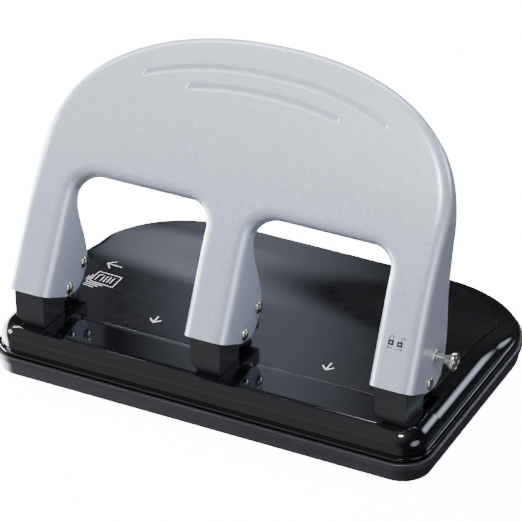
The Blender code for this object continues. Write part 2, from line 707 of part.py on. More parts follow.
def lever_outline():
    """The lever's outline in its own flat plane, (x, along), anticlockwise seen from the front."""
    half = LEG_WIDTH / 2
    corner_y = OPENING_TOP - OPENING_CORNER
    rows = int((corner_y - MM) / ROW_STEP)
    lower = [-2 * ROW_STEP] + [(k + 1) * ROW_STEP for k in range(rows)]

    wide = leg_edge(LEVER_HALF_WIDTH, DOME_START)
    dome = []
    for k in range(DOME_STEPS + 1):
        a = math.pi * k / DOME_STEPS
        c, s = math.cos(a), math.sin(a)
        dome.append((wide * math.copysign(abs(c) ** (2 / DOME_POWER), c),
                     DOME_START + (LEVER_LENGTH - DOME_START) * s ** (2 / DOME_POWER)))
    right = [(leg_edge(LEVER_HALF_WIDTH, y), y) for y in lower + [OPENING_TOP + SHEET_BEND + MM]]
    outline = right + dome + [(-x, y) for x, y in reversed(right)]

    outer_x = -(HOLE_PITCH - half)
    inner_x = -half
    outline += [(leg_edge(outer_x, y), y) for y in lower]
    outline += arc((leg_edge(outer_x, corner_y) + OPENING_CORNER, corner_y), OPENING_CORNER, 180, 90, 5)
    outline += arc((inner_x - OPENING_CORNER, corner_y), OPENING_CORNER, 90, 0, 5)
    outline += [(inner_x, y) for y in reversed(lower)]
    outline += [(-inner_x, y) for y in lower]
    outline += arc((-inner_x + OPENING_CORNER, corner_y), OPENING_CORNER, 180, 90, 5)
    outline += arc((leg_edge(-outer_x, corner_y) - OPENING_CORNER, corner_y), OPENING_CORNER, 90, 0, 5)
    outline += [(leg_edge(-outer_x, y), y) for y in reversed(lower)]
    return outline


def smooth_step(value, low, high):
    s = min(max((value - low) / (high - low), 0.0), 1.0)
    return s * s * (3 - 2 * s)


def wall_depth(x, along):
    """How far the turned-back wall reaches behind the face at a point of the outline."""
    if along < LOBE_CENTRE:
        t = 1 - max(along, 0.0) / LOBE_CENTRE
        return LOBE_FOOT + (LOBE_DEPTH - LOBE_FOOT) * math.sqrt(max(1 - t ** 3, 0.0))
    outer = abs(x) > HOLE_PITCH
    if outer:
        first = smooth_step(along, LOBE_CENTRE, LOBE_END)
        second = smooth_step(along, *OUTER_FADE)
        return LOBE_DEPTH - OUTER_STEP * first - (LOBE_DEPTH - OUTER_STEP - LIP_DEPTH) * second
    return LOBE_DEPTH - (LOBE_DEPTH - LIP_DEPTH) * smooth_step(along, LOBE_CENTRE, LOBE_END)


def offset(outline, distance):
    """The outline moved into the sheet, point for point."""
    moved = []
    count = len(outline)
    for i, (x, y) in enumerate(outline):
        ax, ay = outline[i - 1]
        bx, by = outline[(i + 1) % count]
        e1 = Vector((x - ax, y - ay)).normalized()
        e2 = Vector((bx - x, by - y)).normalized()
        n1 = Vector((-e1.y, e1.x))
        n2 = Vector((-e2.y, e2.x))
        mid = (n1 + n2).normalized()
        stretch = distance / max(mid.dot(n1), 0.5)
        moved.append((x + mid.x * stretch, y + mid.y * stretch))
    return moved


def bend_face(point):
    """Take a point of the flat lever, (x, along, behind), to its place in the frame."""
    x, along, behind = point
    straight = min(along, LEVER_STRAIGHT)
    extra = max(along - LEVER_STRAIGHT, 0.0) / LEVER_BEND_RADIUS
    lean = LEVER_LEAN + extra
    y = straight * math.sin(LEVER_LEAN) + LEVER_BEND_RADIUS * (math.cos(LEVER_LEAN) - math.cos(lean))
    z = straight * math.cos(LEVER_LEAN) + LEVER_BEND_RADIUS * (math.sin(lean) - math.sin(LEVER_LEAN))
    return Vector((x, LEVER_Y + y + behind * math.cos(lean), LEVER_Z + z - behind * math.sin(lean)))


def face_triangles(flat):
    """Triangles over the lever's face, with a straight fold wherever its edges have level points."""
    rows = {}
    for i, (x, y) in enumerate(flat):
        rows.setdefault(round(2 * y / MM), []).append((x, i))
    count = len(flat)
    folds = []
    for level, row in rows.items():
        across = 2 if level * MM / 2 > OPENING_TOP + SHEET_BEND else 6
        if len(row) == across:
            row.sort()
            folds += [(row[k][1], row[k + 1][1]) for k in range(0, len(row), 2)]
    folds = [(a, b) for a, b in folds if (a - b) % count not in (1, count - 1)]
    points = [Vector((x / MM, y / MM)) for x, y in flat]
    result = delaunay_2d_cdt(points, folds, [list(range(count))], 1, 0.0001)
    source = [origins[0] for origins in result[3]]
    return [[source[i] for i in face] for face in result[2]]


def make_lever():
    outline = lever_outline()
    bend, sheet = SHEET_BEND, SHEET
    depths = [wall_depth(x, y) for x, y in outline]
    bm = bmesh.new()

    def ring(inset, behind):
        flat = offset(outline, inset)
        return [bm.verts.new((x, y, d if behind is None else behind))
                for (x, y), d in zip(flat, depths)]

    turns = [math.radians(a) for a in (0, 30, 60, 90)]
    outside = [ring(bend * (1 - math.sin(a)), bend * (1 - math.cos(a))) for a in turns]
    outside.append(ring(0.0, None))
    small = bend - sheet
    inside = [ring(sheet + small * (1 - math.sin(a)), sheet + small * (1 - math.cos(a)))
              for a in (turns[0], turns[2], turns[3])]
    inside.append(ring(sheet, None))
    triangles = face_triangles(offset(outline, bend))
    for shell in (outside, inside):
        for a, b in zip(shell, shell[1:]):
            bridge(bm, a, b)
        for face in triangles:
            bm.faces.new([shell[0][i] for i in face])
    bridge(bm, outside[-1], inside[-1])

    cut = bmesh.ops.bisect_plane(bm, geom=bm.verts[:] + bm.edges[:] + bm.faces[:], dist=1e-7,
                                 plane_co=(0, 0, 0), plane_no=(0, 1, 0), clear_inner=True)
    edges = [e for e in cut["geom_cut"] if isinstance(e, bmesh.types.BMEdge)]
    bmesh.ops.edgenet_fill(bm, edges=edges)
    for vert in bm.verts:
        vert.co = bend_face(vert.co)
    bmesh.ops.triangulate(bm, faces=bm.faces)
    lever = add_object("lever", bm, silver_paint())

    holes = bmesh.new()
    for side, x in SIDES.items():
        reach = LEG_WIDTH / 2 + HEAD_WALL
        cylinder(holes, PIVOT_RADIUS + RUNNING, x - reach, x + reach, (0, PIVOT_Y, PIVOT_Z), "X", 16)
        high = x if side == "right" else x + reach
        cylinder(holes, DRIVE_RADIUS + RUNNING, x - reach, high, (0, DRIVE_Y, DRIVE_Z), "X", 16)
    lock_y, lock_z = lever_point(LOCK_ALONG, LOCK_BEHIND)
    cylinder(holes, bush_radius() + RUNNING, HOLE_PITCH, HOLE_PITCH + LEG_WIDTH, (0, lock_y, lock_z), "X", 16)
    combine(lever, cutter("lever_holes", holes), "DIFFERENCE")
    set_origin(lever, (0, PIVOT_Y, PIVOT_Z))
    return lever


# ---------------------------------------------------------------- lock

def bush_radius():
    return LOCK_RADIUS + RUNNING + BUSH_WALL


def flange_face():
    """The x of the right leg's outer face where the lock pin goes through."""
    return LEVER_HALF_WIDTH - LEG_TAPER * LOCK_ALONG


def make_lock_bush():
    """A flanged bush in the lever's right wall."""
    y, z = lever_point(LOCK_ALONG, LOCK_BEHIND)
    outer = flange_face() + GAP
    inner = flange_face() - SHEET - GAP
    bore = LOCK_RADIUS + RUNNING
    collar = bush_radius() + 1.5 * BUSH_COLLAR
    lip = bush_radius() + RUNNING + GAP
    profile = [(bore, inner - 2 * GAP), (lip, inner - 2 * GAP),
               (lip, inner), (bush_radius(), inner), (bush_radius(), outer),
               (collar, outer), (collar, outer + BUSH_COLLAR), (bore, outer + BUSH_COLLAR)]
    bm = bmesh.new()
    turned(bm, profile, (0, y, z), "X", 16)
    bush = add_object("lock_bush", bm, silver_paint())
    set_origin(bush, (flange_face(), y, z))
    return bush


def make_lock_pin():
    """A knob on a thin shank, pushed in to hold the lever down."""
    y, z = lever_point(LOCK_ALONG, LOCK_BEHIND)
    tip = HOLE_PITCH + HEAD_WIDTH / 2 + LOCK_STAND_OFF
    end = flange_face() + LOCK_REACH
    neck = end - KNOB_LENGTH
    rim = KNOB_RIM
    chamfer = LOCK_RADIUS / 5
    profile = [(0, tip), (LOCK_RADIUS - chamfer, tip), (LOCK_RADIUS, tip + chamfer), (LOCK_RADIUS, neck)]
    for k in range(1, 5):
        t = k / 4
        profile.append((LOCK_RADIUS + (KNOB_RADIUS - LOCK_RADIUS) * t ** 1.8,
                        neck + (KNOB_LENGTH - 2 * rim) * t))
    profile += [(KNOB_RADIUS, end - rim), (KNOB_RADIUS - 0.6 * rim, end - 0.4 * rim), (0, end)]
    bm = bmesh.new()
    turned(bm, profile, (0, y, z), "X", 18)
    pin = add_object("lock_pin", bm, nickel())
    set_origin(pin, (end, y, z))
    return pin


# ---------------------------------------------------------------- build

def main():
    for old in list(bpy.data.objects):
        bpy.data.objects.remove(old, do_unlink=True)
    make_tray()
    make_cover()
    make_paper_plate()
    make_frame()
    make_screws("head_screw", head_screw_places(), NOSE_BASE - 2 * MM)
    make_screws("frame_screw", frame_screw_places(), LEDGE_TOP - 2.5 * MM)
    for side, x in SIDES.items():
        make_die(side, x)
        make_head(side, x)
        make_pivot_pin(side, x)
        make_drive_pin(side, x)
        make_rod(side, x)
        make_spring(side, x)
    make_lever()
    make_lock_bush()
    make_lock_pin()


main()
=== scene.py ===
import math

import bpy
from mathutils import Matrix, Vector
from mathutils.geometry import delaunay_2d_cdt


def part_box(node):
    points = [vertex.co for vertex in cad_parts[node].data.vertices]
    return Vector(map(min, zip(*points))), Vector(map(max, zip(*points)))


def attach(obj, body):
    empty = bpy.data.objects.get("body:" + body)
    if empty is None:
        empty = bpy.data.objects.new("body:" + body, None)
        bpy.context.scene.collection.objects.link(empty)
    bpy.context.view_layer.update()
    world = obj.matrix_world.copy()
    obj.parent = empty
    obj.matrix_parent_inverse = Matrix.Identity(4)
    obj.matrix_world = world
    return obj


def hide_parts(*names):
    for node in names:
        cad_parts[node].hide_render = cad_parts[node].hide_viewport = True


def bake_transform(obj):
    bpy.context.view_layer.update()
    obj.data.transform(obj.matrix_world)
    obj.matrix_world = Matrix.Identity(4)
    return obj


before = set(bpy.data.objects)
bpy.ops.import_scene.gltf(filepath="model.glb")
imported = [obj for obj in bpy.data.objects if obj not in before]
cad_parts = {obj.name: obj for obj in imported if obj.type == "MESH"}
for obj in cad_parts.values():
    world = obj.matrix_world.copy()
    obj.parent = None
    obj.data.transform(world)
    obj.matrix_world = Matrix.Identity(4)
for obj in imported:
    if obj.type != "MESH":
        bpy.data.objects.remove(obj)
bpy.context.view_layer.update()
bpy.ops.object.select_all(action="DESELECT")

mm = 0.001
sides = ("left", "centre", "right")


# small tools for meshes

def addMesh(name, points, faces):
    mesh = bpy.data.meshes.new(name)
    mesh.from_pydata([tuple(p) for p in points], [], faces)
    piece = bpy.data.objects.new(name, mesh)
    bpy.context.collection.objects.link(piece)
    return piece


def activate(piece):
    bpy.ops.object.select_all(action="DESELECT")
    piece.select_set(True)
    bpy.context.view_layer.objects.active = piece


def cleanNormals(piece, distance=0.000002):
    activate(piece)
    bpy.ops.object.mode_set(mode="EDIT")
    bpy.ops.mesh.select_all(action="SELECT")
    bpy.ops.mesh.remove_doubles(threshold=distance)
    bpy.ops.mesh.normals_make_consistent(inside=False)
    bpy.ops.object.mode_set(mode="OBJECT")


def applyModifier(piece, kind, **settings):
    activate(piece)
    step = piece.modifiers.new(kind.title(), kind)
    for key, value in settings.items():
        setattr(step, key, value)
    bpy.ops.object.modifier_apply(modifier=step.name)


def smooth(piece, angle=35):
    activate(piece)
    bpy.ops.object.shade_smooth_by_angle(angle=math.radians(angle))


def softenEdges(piece, width, segments=2, angle=32):
    applyModifier(piece, "BEVEL", width=width, segments=segments, limit_method="ANGLE",
                  angle_limit=math.radians(angle), harden_normals=False)


def weighNormals(piece):
    applyModifier(piece, "WEIGHTED_NORMAL", keep_sharp=True, weight=60)


def copyOfNode(node, name):
    # a merged copy of a frame piece, with its flat triangles joined up into whole faces
    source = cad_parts[node]
    piece = source.copy()
    piece.data = source.data.copy()
    piece.name = name
    piece.data.name = name
    bpy.context.collection.objects.link(piece)
    piece.parent = None
    piece.matrix_world = Matrix.Identity(4)
    piece.data.materials.clear()
    activate(piece)
    bpy.ops.object.mode_set(mode="EDIT")
    bpy.ops.mesh.select_all(action="SELECT")
    bpy.ops.mesh.remove_doubles(threshold=0.00001)
    bpy.ops.mesh.dissolve_limited(angle_limit=math.radians(0.6))
    bpy.ops.object.mode_set(mode="OBJECT")
    return piece


def finishPiece(piece, body, slot, material, *nodes):
    piece.data.materials.clear()
    piece.data.materials.append(material)
    if nodes:
        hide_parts(*nodes)
    if body:
        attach(piece, body)


def bridgeFaces(count, rows, closed=True):
    faces = []
    for r in range(rows - 1):
        for i in range(count if closed else count - 1):
            j = (i + 1) % count
            faces.append((r * count + i, r * count + j, (r + 1) * count + j, (r + 1) * count + i))
    return faces


def turnedPiece(name, profile, centre, steps=40, axis="X"):
    # a profile of (radius, distance along the axis) is spun round the axis
    points = []
    for radius, along in profile:
        offset = (along, 0, radius) if axis == "X" else (radius, 0, along)
        points.append(Vector(centre) + Vector(offset))
    mesh = bpy.data.meshes.new(name)
    mesh.from_pydata([tuple(p) for p in points], [(i, i + 1) for i in range(len(points) - 1)], [])
    piece = bpy.data.objects.new(name, mesh)
    bpy.context.collection.objects.link(piece)
    activate(piece)
    bpy.ops.object.mode_set(mode="EDIT")
    bpy.ops.mesh.select_all(action="SELECT")
    turn = (1, 0, 0) if axis == "X" else (0, 0, 1)
    bpy.ops.mesh.spin(steps=steps, angle=2 * math.pi, center=centre, axis=turn)
    bpy.ops.object.mode_set(mode="OBJECT")
    cleanNormals(piece, 0.000005)
    return piece


def arcPoints(centre, radius, start, end, steps):
    rx, ry = radius if isinstance(radius, tuple) else (radius, radius)
    turns = [math.radians(start + (end - start) * k / steps) for k in range(steps + 1)]
    return [(centre[0] + rx * math.cos(a), centre[1] + ry * math.sin(a)) for a in turns]


def ease(value, low, high):
    t = min(max((value - low) / (high - low), 0.0), 1.0)
    return t * t * (3 - 2 * t)


# materials

def linearColour(hexValue):
    parts = [int(hexValue[i:i + 2], 16) / 255 for i in (1, 3, 5)]
    parts = [c / 12.92 if c <= 0.04045 else ((c + 0.055) / 1.055) ** 2.4 for c in parts]
    return (*parts, 1.0)


def addNode(tree, kind, settings=None, **links):
    # adds a node, sets its own properties and fixed inputs, and links the inputs given by name
    node = tree.nodes.new(kind)
    for key, value in (settings or {}).items():
        if hasattr(node, key):
            setattr(node, key, value)
        else:
            node.inputs[key].default_value = value
    for key, source in links.items():
        socket = int(key[1:]) if key[1:].isdigit() else key  # i0 is the first input
        tree.links.new(source, node.inputs[socket])
    return node


def startMaterial(name, settings):
    material = bpy.data.materials.new(name)
    material.use_nodes = True
    tree = material.node_tree
    shader = tree.nodes["Principled BSDF"]
    for key, value in settings.items():
        shader.inputs[key].default_value = value
    place = addNode(tree, "ShaderNodeTexCoord").outputs["Object"]
    return material, tree, shader, place


def ramp(tree, source, stops):
    node = addNode(tree, "ShaderNodeValToRGB", {}, Fac=source)
    marks = node.color_ramp.elements
    while len(marks) < len(stops):
        marks.new(0.5)
    for mark, (at, colour) in zip(marks, stops):
        mark.position = at
        mark.color = colour if isinstance(colour, tuple) else (colour, colour, colour, 1.0)
    return node.outputs["Color"]


def silverMetallicPaint():
    # two-coat silver stoving enamel on pressed steel: aluminium flake under a clear layer, so it
    # glitters finely and shows a broad highlight with a sharper one over it
    look = {"flakeSize": 0.35 * mm, "mottleSize": 9 * mm, "pale": "#c6cbdb", "deep": "#9fa5b7"}
    material, tree, shader, place = startMaterial("silver_metallic_paint", {
        "Metallic": 0.4, "Roughness": 0.36, "Coat Weight": 0.3, "Coat Roughness": 0.16, "Coat IOR": 1.5})
    flake = addNode(tree, "ShaderNodeTexVoronoi", {"Scale": 1 / look["flakeSize"]}, Vector=place)
    mottle = addNode(tree, "ShaderNodeTexNoise", {"Scale": 1 / look["mottleSize"], "Detail": 3.0},
                     Vector=place)
    glitter = ramp(tree, flake.outputs["Color"], [(0.15, linearColour(look["deep"])),
                                                  (0.85, linearColour(look["pale"]))])
    cloud = ramp(tree, mottle.outputs["Fac"], [(0.35, 0.985), (0.65, 1.0)])
    mixed = addNode(tree, "ShaderNodeMix", {"data_type": "RGBA", "blend_type": "MULTIPLY"})
    mixed.inputs[0].default_value = 1.0
    tree.links.new(glitter, mixed.inputs[6])
    tree.links.new(cloud, mixed.inputs[7])
    tree.links.new(mixed.outputs[2], shader.inputs["Base Color"])
    rough = ramp(tree, flake.outputs["Color"], [(0.0, 0.30), (1.0, 0.42)])
    tree.links.new(rough, shader.inputs["Roughness"])
    bump = addNode(tree, "ShaderNodeBump", {"Strength": 0.10, "Distance": 0.02 * mm},
                   Height=flake.outputs["Color"])
    tree.links.new(bump.outputs["Normal"], shader.inputs["Normal"])
    return material


def glossBlackAbs(name, colour, dustSize, roughness):
    # high-gloss moulded ABS: a deep black mirror with the faintest mould ripple
    material, tree, shader, place = startMaterial(name, {
        "Metallic": 0.0, "Roughness": roughness, "IOR": 1.5, "Specular IOR Level": 0.5})
    ripple = addNode(tree, "ShaderNodeTexNoise", {"Scale": 1 / (14 * mm), "Detail": 1.0}, Vector=place)
    haze = addNode(tree, "ShaderNodeTexNoise", {"Scale": 1 / dustSize, "Detail": 4.0}, Vector=place)
    tint = ramp(tree, haze.outputs["Fac"], [(0.3, linearColour(colour[0])), (0.8, linearColour(colour[1]))])
    tree.links.new(tint, shader.inputs["Base Color"])
    rough = ramp(tree, haze.outputs["Fac"], [(0.35, 0.8 * roughness), (0.75, 1.3 * roughness)])
    tree.links.new(rough, shader.inputs["Roughness"])
    bump = addNode(tree, "ShaderNodeBump", {"Strength": 0.05, "Distance": 0.1 * mm},
                   Height=ripple.outputs["Fac"])
    tree.links.new(bump.outputs["Normal"], shader.inputs["Normal"])
    return material


def satinMouldedAbs():
    # ABS from a spark-eroded mould: a fine even grain that turns highlights into a soft grey glow
    material, tree, shader, place = startMaterial("satin_moulded_abs", {
        "Metallic": 0.0, "Roughness": 0.42, "IOR": 1.5})
    grain = addNode(tree, "ShaderNodeTexNoise", {"Scale": 1 / (0.5 * mm), "Detail": 2.0}, Vector=place)
    patch = addNode(tree, "ShaderNodeTexNoise", {"Scale": 1 / (25 * mm), "Detail": 3.0}, Vector=place)
    tint = ramp(tree, patch.outputs["Fac"], [(0.3, linearColour("#1a1a1d")), (0.7, linearColour("#212125"))])
    tree.links.new(tint, shader.inputs["Base Color"])
    rough = ramp(tree, grain.outputs["Fac"], [(0.3, 0.36), (0.7, 0.48)])
    tree.links.new(rough, shader.inputs["Roughness"])
    bump = addNode(tree, "ShaderNodeBump", {"Strength": 0.18, "Distance": 0.03 * mm},
                   Height=grain.outputs["Fac"])
    tree.links.new(bump.outputs["Normal"], shader.inputs["Normal"])
    return material


def satinBlackEnamel():
    # black enamel on folded steel: nearly smooth, a little orange peel, a little paler here and there
    material, tree, shader, place = startMaterial("satin_black_enamel", {
        "Metallic": 0.0, "Roughness": 0.30, "IOR": 1.5, "Coat Weight": 0.2, "Coat Roughness": 0.2})
    peel = addNode(tree, "ShaderNodeTexNoise", {"Scale": 1 / (1.2 * mm), "Detail": 2.0}, Vector=place)
    tint = ramp(tree, peel.outputs["Fac"], [(0.3, linearColour("#0b0b0d")), (0.75, linearColour("#121214"))])
    tree.links.new(tint, shader.inputs["Base Color"])
    bump = addNode(tree, "ShaderNodeBump", {"Strength": 0.12, "Distance": 0.04 * mm},
                   Height=peel.outputs["Fac"])
    tree.links.new(bump.outputs["Normal"], shader.inputs["Normal"])
    return material


def brightMetal(name, colours, roughness, size, stretch=(1, 1, 1)):
    # plated or ground metal: the pattern is stretched along the way it was worked
    material, tree, shader, place = startMaterial(name, {"Metallic": 1.0, "Roughness": roughness})
    mapped = addNode(tree, "ShaderNodeMapping", {"Scale": stretch}, Vector=place)
    marks = addNode(tree, "ShaderNodeTexNoise", {"Scale": 1 / size, "Detail": 4.0},
                    Vector=mapped.outputs["Vector"])
    tint = ramp(tree, marks.outputs["Fac"], [(0.3, linearColour(colours[0])),
                                             (0.7, linearColour(colours[1]))])
    tree.links.new(tint, shader.inputs["Base Color"])
    rough = ramp(tree, marks.outputs["Fac"], [(0.3, roughness * 0.8), (0.7, roughness * 1.3)])
    tree.links.new(rough, shader.inputs["Roughness"])
    bump = addNode(tree, "ShaderNodeBump", {"Strength": 0.08, "Distance": 0.02 * mm},
                   Height=marks.outputs["Fac"])
    tree.links.new(bump.outputs["Normal"], shader.inputs["Normal"])
    return material


def screenInk(name, colour):
    # pad-printed ink: flat, a little uneven where the pad lifted
    material, tree, shader, place = startMaterial(name, {"Roughness": 0.45})
    cover = addNode(tree, "ShaderNodeTexNoise", {"Scale": 1 / (0.8 * mm), "Detail": 3.0}, Vector=place)
    tint = ramp(tree, cover.outputs["Fac"], [(0.25, linearColour(colour[0])), (0.6, linearColour(colour[1]))])
    tree.links.new(tint, shader.inputs["Base Color"])
    return material


paint = silverMetallicPaint()
coverBlack = glossBlackAbs("gloss_black_abs", ("#050506", "#08080a"), 3 * mm, 0.06)
plateBlack = glossBlackAbs("gloss_black_sheet", ("#060608", "#0a0a0d"), 5 * mm, 0.13)
trayBlack = satinMouldedAbs()
headBlack = satinBlackEnamel()
nickel = brightMetal("nickel_plate", ("#b9b4a9", "#d3cfc6"), 0.17, 1.5 * mm)
groundSteel = brightMetal("ground_tool_steel", ("#8f8f92", "#b5b5b8"), 0.26, 0.5 * mm, (1, 1, 0.1))
springSteel = brightMetal("drawn_spring_wire", ("#77777a", "#9d9da0"), 0.24, 0.6 * mm)
zincSheet = brightMetal("zinc_plated_sheet", ("#8b8e93", "#b3b6ba"), 0.36, 7 * mm)
whiteInk = screenInk("white_ink", ("#c9c9cc", "#e9e9ea"))
slateInk = screenInk("slate_ink", ("#111318", "#1b1e24"))
# the die rings get near-black steel as painted shade: the colour stands for the shade under the punch heads,
# so the rings don't show bright there
dieSteelPaintedShade = brightMetal("die_steel_darkened_as_painted_shade", ("#17171a", "#232327"), 0.32, 0.8 * mm)
print("materials made")


# the base: tray, cover and paper plate share one outline

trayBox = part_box("chip_tray")
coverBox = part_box("base_cover")
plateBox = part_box("paper_plate")
base = {
    "halfWidth": coverBox[1].x, "front": coverBox[0].y, "back": coverBox[1].y,
    "frontCorner": 16.4 * mm, "rearCornerX": 64.3 * mm, "rearCornerY": 50.0 * mm,
    "ledgeTop": coverBox[1].z, "ledgeDepth": 32.5 * mm, "rimTop": 26.2 * mm, "rimDrop": 10.9 * mm,
    "dropStart": 87.9 * mm, "dropLength": 70.0 * mm, "stepBefore": 0.9 * mm, "stepAfter": 0.4 * mm,
    "plateProud": 0.4 * mm, "plateThickness": 1.6 * mm,
    "frontSteps": 18, "rearSteps": 30, "rowSpacing": 3.5 * mm,
    "stepRows": (-4, -0.9, -0.5, -0.2, 0.1, 0.4, 0.9, 4)}  # millimetres from the ledge's back edge
base["ledgeBack"] = base["front"] + base["ledgeDepth"]


def halfOutline(inset, start=None, backInset=None):
    # the right half of the outline from front to back, moved in by the inset, or by another at the back
    edge = base["halfWidth"] - inset
    backInset = inset if backInset is None else backInset
    corner = base["frontCorner"]
    turn = base["back"] - base["rearCornerY"]
    points = []
    if start is None:
        middle = (base["halfWidth"] - corner, base["front"] + corner)
        points += arcPoints(middle, corner - inset, -90, 0, base["frontSteps"])
        points += [(edge, base["ledgeBack"] + shift * mm) for shift in base["stepRows"]]
    else:
        points.append((edge, start))
    y = points[-1][1] + base["rowSpacing"]
    while y < turn - 0.5 * mm:
        points.append((edge, y))
        y += base["rowSpacing"]
    middle = (base["halfWidth"] - base["rearCornerX"], turn)
    radii = (base["rearCornerX"] - inset, base["rearCornerY"] - backInset)
    points += arcPoints(middle, radii, 0, 90, base["rearSteps"])
    return points


def deckHeight(y):
    past = y - base["front"] - base["dropStart"]
    return base["rimTop"] - base["rimDrop"] * ease(past, 0, base["dropLength"])


def coverHeight(y):
    back = base["ledgeBack"]
    rise = base["ledgeTop"] - deckHeight(y)
    return deckHeight(y) + rise * (1 - ease(y, back - base["stepBefore"], back + base["stepAfter"]))


def ringPoints(half, height):
    level = height if callable(height) else lambda y: height
    right = [(x, y, level(y)) for x, y in half]
    return right + [(-x, y, z) for x, y, z in reversed(right)]


def acrossFaces(start, count, flip=False):
    # strips from side to side that close a ring of points
    faces = []
    for i in range(count // 2 - 1):
        strip = (start + i, start + i + 1, start + count - 2 - i, start + count - 1 - i)
        faces.append(strip[::-1] if flip else strip)
    return faces


def loftedPiece(name, rings):
    count = len(rings[0])
    points = [p for ring in rings for p in ring]
    faces = bridgeFaces(count, len(rings))
    faces += acrossFaces(0, count, True) + acrossFaces(count * (len(rings) - 1), count)
    piece = addMesh(name, points, faces)
    cleanNormals(piece)
    return piece


def cutDieHoles(piece):
    hole = {"play": 0.3 * mm, "reach": 20 * mm, "steps": 48}
    radius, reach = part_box("die_centre")[1].x + hole["play"], hole["reach"]
    for side in sides:
        low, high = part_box("die_" + side)
        profile = [(0, -reach), (radius, -reach), (radius, reach), (0, reach)]
        tool = turnedPiece("holeTool", profile, (low + high) / 2, hole["steps"], "Z")
        applyModifier(piece, "BOOLEAN", operation="DIFFERENCE", solver="EXACT", object=tool)
        bpy.data.objects.remove(tool)


def makeTray():
    # each level is (inset, height), from the foot up the outside, over the lip and down to the floor
    tray = {"height": trayBox[1].z, "wall": 2.4 * mm, "flare": trayBox[1].x - base["halfWidth"],
            "footRound": 1.5 * mm, "lipRound": 0.55 * mm, "lipBelow": 4.2 * mm, "lipStart": 3.4 * mm,
            "draft": 1.2 * mm, "floorRound": 1.0 * mm}
    foot, lip, flare, wall, top = (tray[key] for key in ("footRound", "lipRound", "flare", "wall", "height"))
    levels = [(foot, 0.0)]
    for k in range(1, 6):
        a = math.radians(18 * k)
        levels.append((foot * (1 - math.sin(a)), foot * (1 - math.cos(a))))
    levels.append((-0.55 * flare, top - tray["lipBelow"]))
    levels.append((-flare, top - tray["lipStart"]))
    levels.append((-flare, top - lip))
    for k in range(1, 5):
        a = math.radians(22.5 * k)
        levels.append((-flare + lip * (1 - math.cos(a)), top - lip * (1 - math.sin(a))))
    levels.append((wall - flare - lip, top))
    levels.append((wall - flare, top - lip))
    levels.append((wall + tray["draft"], wall + tray["floorRound"]))
    levels.append((wall + tray["draft"] + tray["floorRound"], wall))
    piece = loftedPiece("trayPan", [ringPoints(halfOutline(inset), z) for inset, z in levels])
    smooth(piece, 38)
    weighNormals(piece)
    finishPiece(piece, "chip_tray", "tray_matte", trayBlack, "chip_tray")


def makeCover():
    cover = {"flangeBottom": trayBox[1].z + 0.6 * mm, "flangeHeight": 2.0 * mm, "bodyInset": 1.8 * mm,
             "shoulder": 8.0 * mm, "skirtInset": 3.4 * mm, "skirtFoot": coverBox[0].z, "wall": 2.4 * mm,
             "roof": 22.3 * mm, "edge": 0.35 * mm, "fillet": 0.15 * mm, "shoulderSteps": 12,
             "recessInset": 14.0 * mm, "recessBack": 5.2 * mm, "recessDepth": 1.9 * mm, "play": 0.3 * mm}
    flangeTop = cover["flangeBottom"] + cover["flangeHeight"]
    edge = cover["edge"]
    skirtInner = cover["skirtInset"] + cover["wall"]
    body = cover["bodyInset"]
    rings = [ringPoints(halfOutline(inset), z) for inset, z in (
        (skirtInner, cover["skirtFoot"]), (cover["skirtInset"], cover["skirtFoot"]),
        (cover["skirtInset"], cover["flangeBottom"]), (edge, cover["flangeBottom"]),
        (0.3 * edge, cover["flangeBottom"] + 0.3 * edge), (0, cover["flangeBottom"] + edge),
        (0, flangeTop - edge), (0.3 * edge, flangeTop - 0.3 * edge), (edge, flangeTop),
        (body - cover["fillet"], flangeTop), (body, flangeTop + cover["fillet"]))]
    outer = halfOutline(body)
    inner = halfOutline(body + cover["shoulder"])
    for k in range(cover["shoulderSteps"] + 1):
        a = math.radians(90 * k / cover["shoulderSteps"])
        right = []
        for (x0, y0), (x1, y1) in zip(outer, inner):
            radius = min(cover["shoulder"], coverHeight(y0) - flangeTop - cover["play"])
            t = radius * (1 - math.cos(a)) / cover["shoulder"]
            z = coverHeight(y0) - radius * (1 - math.sin(a))
            right.append((x0 + (x1 - x0) * t, y0 + (y1 - y0) * t, z))
        rings.append(right + [(-x, y, z) for x, y, z in reversed(right)])

    def ceiling(y):  # under the plate's recess
        return min(cover["roof"], deckHeight(y) - base["plateThickness"] - cover["wall"])

    innerWall = ringPoints(halfOutline(skirtInner), lambda y: min(flangeTop, ceiling(y)) - cover["play"])
    roof = ringPoints(inner, ceiling)
    count = len(rings[0])
    points = [p for ring in rings for p in ring] + innerWall + roof
    faces = bridgeFaces(count, len(rings))
    topStart = count * (len(rings) - 1)
    innerStart = topStart + count
    roofStart = innerStart + count
    faces += acrossFaces(topStart, count)
    for a, b in ((0, innerStart), (innerStart, roofStart)):
        faces += [(a + i, b + i, b + (i + 1) % count, a + (i + 1) % count) for i in range(count)]
    faces += acrossFaces(roofStart, count, True)
    piece = addMesh("coverShell", points, faces)
    cleanNormals(piece)

    half = halfOutline(cover["recessInset"], base["ledgeBack"], cover["recessBack"])
    proud = base["plateProud"]
    cutter = loftedPiece("recessTool", [
        ringPoints(half, lambda y: deckHeight(y) + proud - cover["recessDepth"]),
        ringPoints(half, lambda y: deckHeight(y) + 6 * mm)])
    applyModifier(piece, "BOOLEAN", operation="DIFFERENCE", solver="EXACT", object=cutter)
    bpy.data.objects.remove(cutter)
    cutDieHoles(piece)
    smooth(piece, 38)
    weighNormals(piece)
    finishPiece(piece, "base", "cover_gloss", coverBlack, "base_cover")


